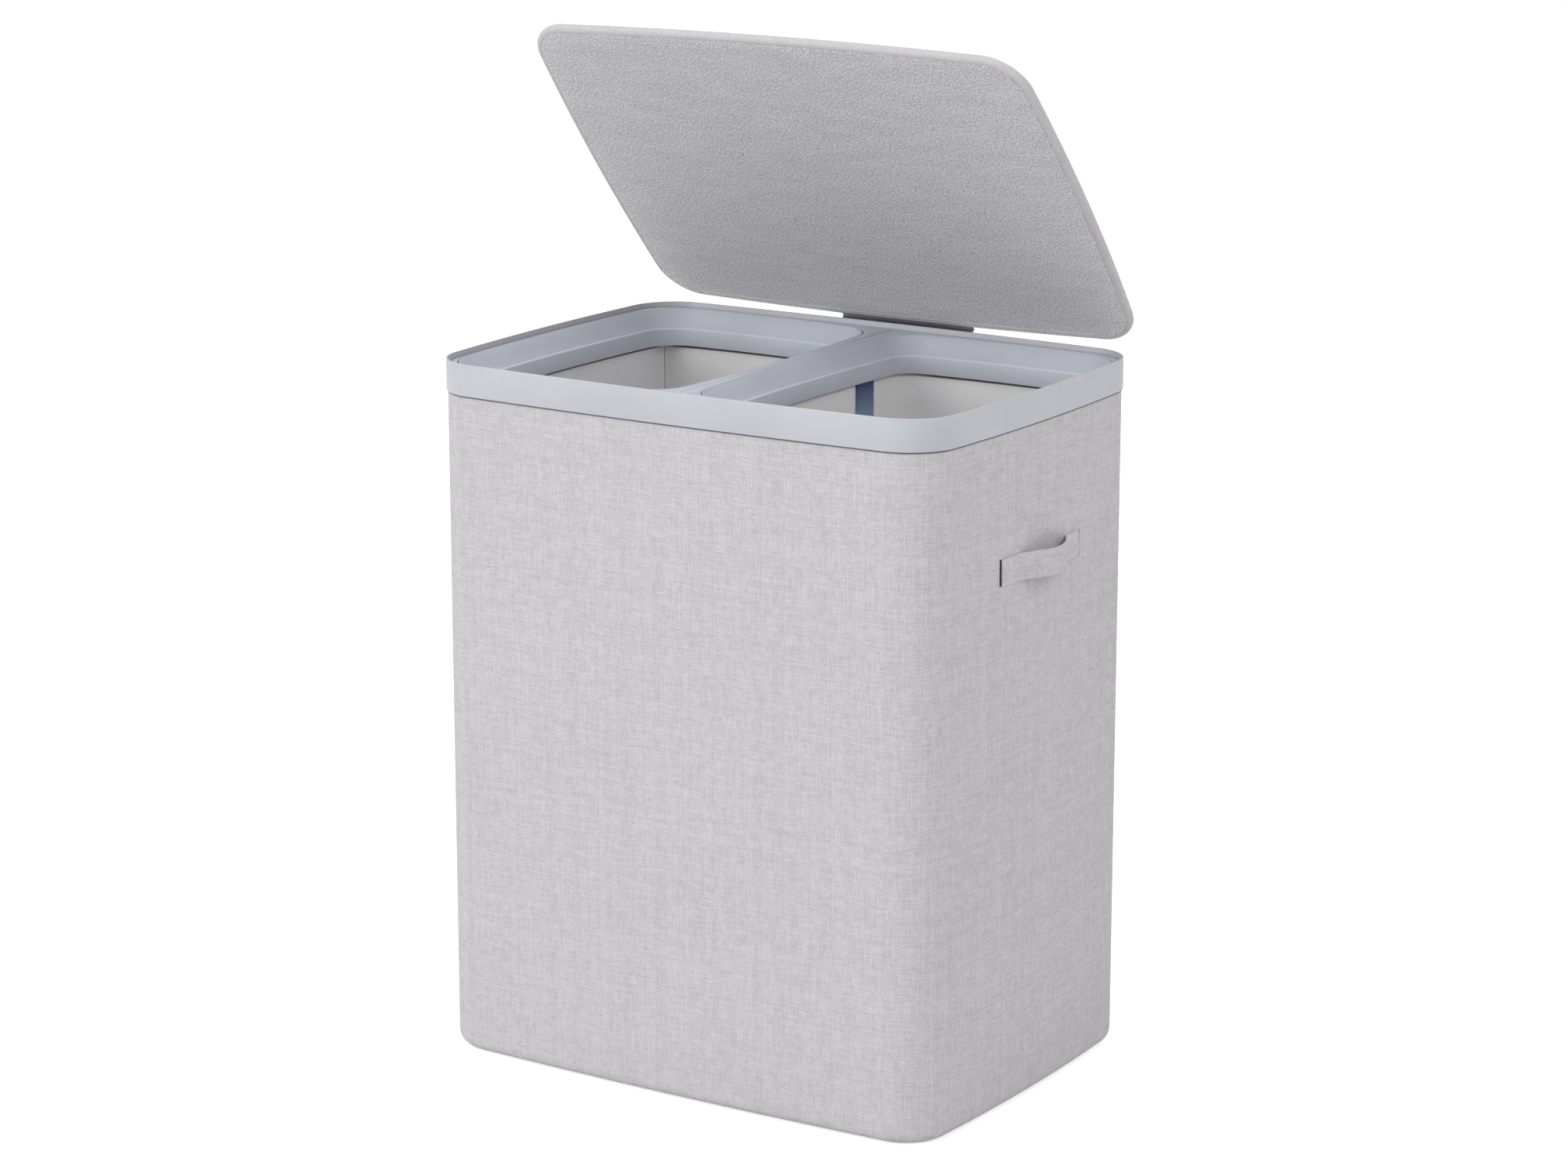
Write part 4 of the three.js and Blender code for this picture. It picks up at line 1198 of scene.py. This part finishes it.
class HAMPER_OT_bags(bpy.types.Operator):
    """Builds the two bags, the covered boards in them and their navy tapes"""

    bl_idname = "hamper.bags"
    bl_label = "Bags and tapes"

    def execute(self, context):
        sizes = chosen("bins")
        bag, board, tape = self.bag(sizes), self.board(sizes), self.tape(sizes)
        dress_pair(bag, "left_bag_cloth", 50, "bag_cloth", "lining_cloth", "bag", "bag_bottom")
        dress_pair(board, "left_bag_floor", 50, "bag_lining", "board", "bag_base_board")
        dress_pair(tape, "left_tape", 50, "navy_tape", "strap_webbing", "carry_strap")
        return {"FINISHED"}

    def bag(self, sizes):
        """A bag: its hem behind the collar, a short neck, and straight walls down to its foot."""
        hem_plan, wall_plan = ring_plan(), bag_plan()
        hem_foot = BAG_HIGH.z - sizes.hem_height
        neck_foot = hem_foot - sizes.neck
        hem = start_plate("right_bag_cloth", hem_plan, sizes.hem_inset, BAG_HIGH.z)
        steps(2, 0, -sizes.hem_height)
        open_end()
        open_start(hem, BAG_HIGH.z)
        bow(hem, hem_plan)
        walls = start_plate("bag_walls", wall_plan, 0, neck_foot)
        drop = neck_foot - BAG_LOW.z - sizes.foot_round
        steps(24, 0, -drop)
        round_edge(sizes.foot_round, 4, -1)
        open_start(walls, neck_foot)
        bow(walls, wall_plan)
        bag = join([hem, walls], "right_bag_cloth")
        edit(bag)

        def facing(edge):
            return edge.is_boundary and any(
                all(abs(v.co.z - z) < NEAR for v in edge.verts) for z in (hem_foot, neck_foot)
            )

        pick(bag, facing, "EDGE")
        bpy.ops.mesh.bridge_edge_loops(number_cuts=3, interpolation="LINEAR")
        face_outwards(bag)
        thicken(bag, sizes.cloth)
        ripple(bag, 1.0 * MM, 0.09, "bag_ripple")
        lay_cloth(bag, wall_plan)
        return bag

    def board(self, sizes):
        """The cloth-covered board in the bottom of a bag."""
        plan = bag_plan()
        setback = plan.half.x - (BOARD_HIGH.x - BOARD_LOW.x) / 2
        rounding = 1.1 * MM
        board = start_plate("right_bag_floor", plan, setback, BOARD_LOW.z + rounding, least=4 * MM)
        step(0, BOARD_HIGH.z - BOARD_LOW.z - 2 * rounding)
        round_edge(rounding, 4)
        bow(board, plan)
        face_outwards(board)
        lay_cloth(board, plan, setback)
        return board

    def tape(self, sizes):
        """The navy tape: two legs down the divider's side of the bag, joined by a hanging loop."""
        outer = TAPE_HIGH.y
        middle = outer - sizes.tape_width / 2
        turn_z = TAPE_LOW.z + outer
        leg = TAPE_HIGH.z - turn_z
        bend = math.pi * middle
        whole = 2 * leg + bend
        plan = bag_plan()

        def place(along, across):
            run = along + whole / 2
            if run < leg:
                y, z = middle + across, TAPE_HIGH.z - run
            elif run > leg + bend:
                y, z = -middle - across, turn_z + (run - leg - bend)
            else:
                turn = (run - leg) / middle
                y = (middle + across) * math.cos(turn)
                z = turn_z - (middle + across) * math.sin(turn)
            wall_x = plan.centre - plan.reach(y, sizes.cloth + 0.7 * MM)
            return Vector((wall_x, y, z))

        tape = strip("right_tape", (whole, sizes.tape_width), (160, 6), place)
        thicken(tape, sizes.tape_cloth, inward=False)
        ease_edges(tape, 0.35 * MM)
        return tape


class HAMPER_OT_handles(bpy.types.Operator):
    """Builds the two cloth handles with their stitched edges"""

    bl_idname = "hamper.handles"
    bl_label = "Side handles"

    def execute(self, context):
        handle = self.handle(chosen("handles"))
        dress_pair(handle, "left_strap", 50, "strap_linen", "cover_cloth", "handle")
        return {"FINISHED"}

    def handle(self, sizes):
        """A strap that lies on the wall, arches out and goes in through a slit at each end."""
        body, plan = chosen("body"), rim_plan()
        reach = HANDLE_HIGH.y - sizes.thickness
        depth = 7 * MM
        middle_z = (HANDLE_LOW.z + HANDLE_HIGH.z) / 2
        width = HANDLE_HIGH.z - HANDLE_LOW.z

        def arch(y):
            away = min(abs(y - sizes.arch_peak) / sizes.arch_half, 1)
            ramp = 1.5 if y < sizes.arch_peak else 1.0
            return sizes.standoff * math.cos(away * math.pi / 2) ** ramp

        def wall(y):
            return plan.reach(y, body.cover_setback) + 0.3 * MM + arch(y)

        def place(along, across):
            y = max(-reach, min(reach, along))
            past = abs(along) - reach
            x = wall(y)
            if past > 0:
                x -= past
            sag = 0.5 * MM * (2 * across / width) ** 2
            return Vector((x - sag, y, middle_z + across))

        strap = strip("right_strap", (2 * (reach + depth), width), (140, 12), place)
        thicken(strap, sizes.thickness, inward=False)
        ease_edges(strap, 0.5 * MM, segments=3)
        return strap


class HAMPER_OT_lid(bpy.types.Operator):
    """Builds the lid's linen cover, its felt underside and the cloth tab over the hinge"""

    bl_idname = "hamper.lid"
    bl_label = "Lid"

    def execute(self, context):
        sizes, plan = chosen("lid"), rim_plan()
        bottom = DECK_Z + sizes.rest
        pieces = (
            (self.cover(plan, sizes, bottom), "lid_linen", "cover_cloth", "lid_cover"),
            (self.panel(plan, sizes, bottom), "lid_felt", "lid_cloth", "lid_underside"),
            (self.tab(sizes), "cover_linen", "cover_cloth", "hinge_tab_cloth"),
        )
        for piece, material, slot, node in pieces:
            turn_lid(piece)
            smooth(piece, 45)
            dress(piece, "lid", finish(material), slot, node)
        return {"FINISHED"}

    def cover(self, plan, sizes, bottom):
        """The cover: its flat top, its round edge, and the flange that it turns in underneath."""
        radius = sizes.thickness / 2
        upper = start_plate("lid_shell", plan, sizes.margin, bottom + radius)
        round_edge(radius, 7)
        step(25 * MM, 0)
        lower = start_plate("lid_flange", plan, sizes.margin, bottom + radius)
        round_edge(radius, 7, -1)
        step(sizes.seam - radius - sizes.groove / 2, 0)
        for inward, rise in round_steps(sizes.groove / 2, 3, False):
            step(rise, inward)
        step(0, sizes.cloth)
        open_end()
        cover = join([upper, lower], "lid_shell")
        bow(cover, plan)
        face_outwards(cover)
        lay_cloth(cover, plan, sizes.margin)
        thicken(cover, LID_SKIN)
        return cover

    def panel(self, plan, sizes, bottom):
        """The felt panel, with a round edge at its seam."""
        inset = sizes.margin + sizes.seam + sizes.groove / 2
        panel = start_plate("lid_felt_panel", plan, inset, bottom + sizes.cloth)
        step(0, -sizes.cloth + sizes.groove / 2)
        round_edge(sizes.groove / 2, 3, -1)
        step(14 * MM, 0)
        bow(panel, plan)
        lay_cloth(panel, plan, inset)
        thicken(panel, FELT_WALL)
        return panel

    def tab(self, sizes):
        """The cloth tab that covers the hinge between the lid and the rim."""
        radius = tab_radius()
        start = math.radians(125)
        foot = 5 * MM
        arc = radius * (start - math.pi / 2)
        drop = radius - foot
        whole = arc + drop

        def place(along, across):
            run = along + whole / 2
            if run < arc:
                turn = start - run / radius
                return Vector((across, PIN_Y + radius * math.cos(turn), PIN_Z + radius * math.sin(turn)))
            return Vector((across, PIN_Y, PIN_Z + radius - (run - arc)))

        tab = strip("hinge_tab", (whole, sizes.tab_width), (24, 40), place)
        thicken(tab, TAB_WALL)
        ease_edges(tab, 0.15 * MM)
        return tab


def tab_radius():
    """Radius of the cloth tab about the hinge pin, read from its CAD piece."""
    points = [v.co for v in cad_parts["hinge_tab_cloth"].data.vertices]
    return max(math.hypot(p.y - PIN_Y, p.z - PIN_Z) for p in points)


CARRIED = {
    "pressed_board": ("front_wall_board", "back_wall_board", "lid_board"),
    "satin_plastic": ("base_tray",),
    "wadding": ("lid_padding",),
    "painted_steel": ("hinge_leaf",),
    "plated_steel": (
        "left_hem_hoop", "right_hem_hoop", "hinge_bracket", "hinge_pin",
        *(f"bracket_screw_{i}" for i in range(1, 5)), *(f"leaf_screw_{i}" for i in range(1, 5)),
    ),
}


class HAMPER_OT_carried(bpy.types.Operator):
    """Gives the inner and metal pieces that stay as they are their finishes"""

    bl_idname = "hamper.carried"
    bl_label = "Carried pieces"

    def execute(self, context):
        for material, nodes in CARRIED.items():
            for node in nodes:
                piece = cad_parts[node]
                piece.data.materials.clear()
                piece.data.materials.append(finish(material))
        return {"FINISHED"}


class HAMPER_OT_stage(bpy.types.Operator):
    """Builds the floor, the lights, the world and the camera"""

    bl_idname = "hamper.stage"
    bl_label = "Stage and camera"

    def execute(self, context):
        sizes = chosen("stage")
        self.floor(sizes)
        self.world(context.scene, sizes)
        lamps = (
            ("key_lamp", (-1.9, -3.5, 2.1), (0, 0, 0.4), 2.4, sizes.key),
            ("fill_lamp", (2.8, -0.8, 2.6), (0, 0, 0.4), 1.8, sizes.fill),
            ("top_lamp", (0.0, -0.4, 3.4), (0, 0, 0.5), 2.0, sizes.top),
        )
        for lamp in lamps:
            self.lamp(*lamp)
        self.camera(context.scene)
        context.scene.view_settings.view_transform = "Standard"
        return {"FINISHED"}

    def floor(self, sizes):
        """A wide white floor that still shows the hamper's shadow."""
        settle()
        bpy.ops.mesh.primitive_circle_add(vertices=96, radius=30, fill_type="NGON", location=(0, 0, 0))
        floor = bpy.context.object
        floor.name = "studio_floor"
        surface = Surface("floor_white")
        surface.tree.nodes.clear()
        plain = surface.node("ShaderNodeBsdfDiffuse", {"Color": (sizes.floor,) * 3 + (1,)})[0]
        lift = surface.times(surface.seen(), sizes.floor_lift)
        glow = surface.node("ShaderNodeEmission", {"Color": WHITE, "Strength": lift})[0]
        both = surface.node("ShaderNodeAddShader", {0: plain, 1: glow})[0]
        surface.node("ShaderNodeOutputMaterial", {"Surface": both})
        floor.data.materials.append(surface.material)

    def world(self, scene, sizes):
        """White to the camera, and an even light from all round."""
        scene.world = bpy.data.worlds.new("studio")
        scene.world.use_nodes = True
        net = Net(scene.world.node_tree)
        net.tree.nodes.clear()
        strength = net.mix(net.seen(), sizes.world, 1.0)
        back = net.node("ShaderNodeBackground", {"Color": WHITE, "Strength": strength})[0]
        net.node("ShaderNodeOutputWorld", {"Surface": back})

    def lamp(self, name, place, aim, size, power):
        """A square area lamp that points at a place."""
        settle()
        bpy.ops.object.light_add(type="AREA", location=place)
        lamp = bpy.context.object
        lamp.name = name
        lamp.data.shape = "SQUARE"
        lamp.data.size = size
        lamp.data.energy = power
        lamp.rotation_euler = (Vector(aim) - Vector(place)).to_track_quat("-Z", "Y").to_euler()

    def camera(self, scene):
        """The photograph's viewpoint, from the front right and above."""
        settle()
        bpy.ops.object.camera_add(location=CAMERA_PLACE)
        camera = bpy.context.object
        camera.name = "photo_camera"
        camera.data.sensor_fit = "HORIZONTAL"
        camera.data.sensor_width = SENSOR_WIDTH
        camera.data.lens = CAMERA_LENS
        camera.rotation_euler = CAMERA_TURN
        scene.camera = camera


OPERATORS = (
    HAMPER_OT_stage, HAMPER_OT_cover, HAMPER_OT_rim, HAMPER_OT_rings, HAMPER_OT_bags,
    HAMPER_OT_handles, HAMPER_OT_lid, HAMPER_OT_carried,
)


class HamperSettings(bpy.types.PropertyGroup):
    """All the settings of the hamper."""

    body: bpy.props.PointerProperty(type=HamperBodySizes)
    bins: bpy.props.PointerProperty(type=HamperBinSizes)
    lid: bpy.props.PointerProperty(type=HamperLidSizes)
    handles: bpy.props.PointerProperty(type=HamperHandleSizes)
    finishes: bpy.props.PointerProperty(type=HamperFinishes)
    stage: bpy.props.PointerProperty(type=HamperStage)


class HAMPER_PT_panel(bpy.types.Panel):
    """Lists the hamper's sizes, colours and operators"""

    bl_label = "Laundry hamper"
    bl_idname = "HAMPER_PT_panel"
    bl_space_type = "VIEW_3D"
    bl_region_type = "UI"
    bl_category = "Hamper"

    def draw(self, context):
        settings = context.scene.hamper
        for name, group in GROUPS.items():
            box = self.layout.box()
            box.label(text=name.capitalize())
            for title in group.__annotations__:
                box.prop(getattr(settings, name), title)
        for operator in OPERATORS:
            self.layout.operator(operator.bl_idname)


CLASSES = (*GROUPS.values(), HamperSettings, *OPERATORS, HAMPER_PT_panel)


def register():
    """Adds the hamper's classes and its settings to Blender."""
    for one in CLASSES:
        bpy.utils.register_class(one)
    bpy.types.Scene.hamper = bpy.props.PointerProperty(type=HamperSettings)


def unregister():
    """Takes them out again."""
    del bpy.types.Scene.hamper
    for one in reversed(CLASSES):
        bpy.utils.unregister_class(one)


def main():
    """Builds the whole hamper."""
    register()
    for operator in OPERATORS:
        group, name = operator.bl_idname.split(".")
        getattr(getattr(bpy.ops, group), name)()


if __name__ == "__main__":
    main()
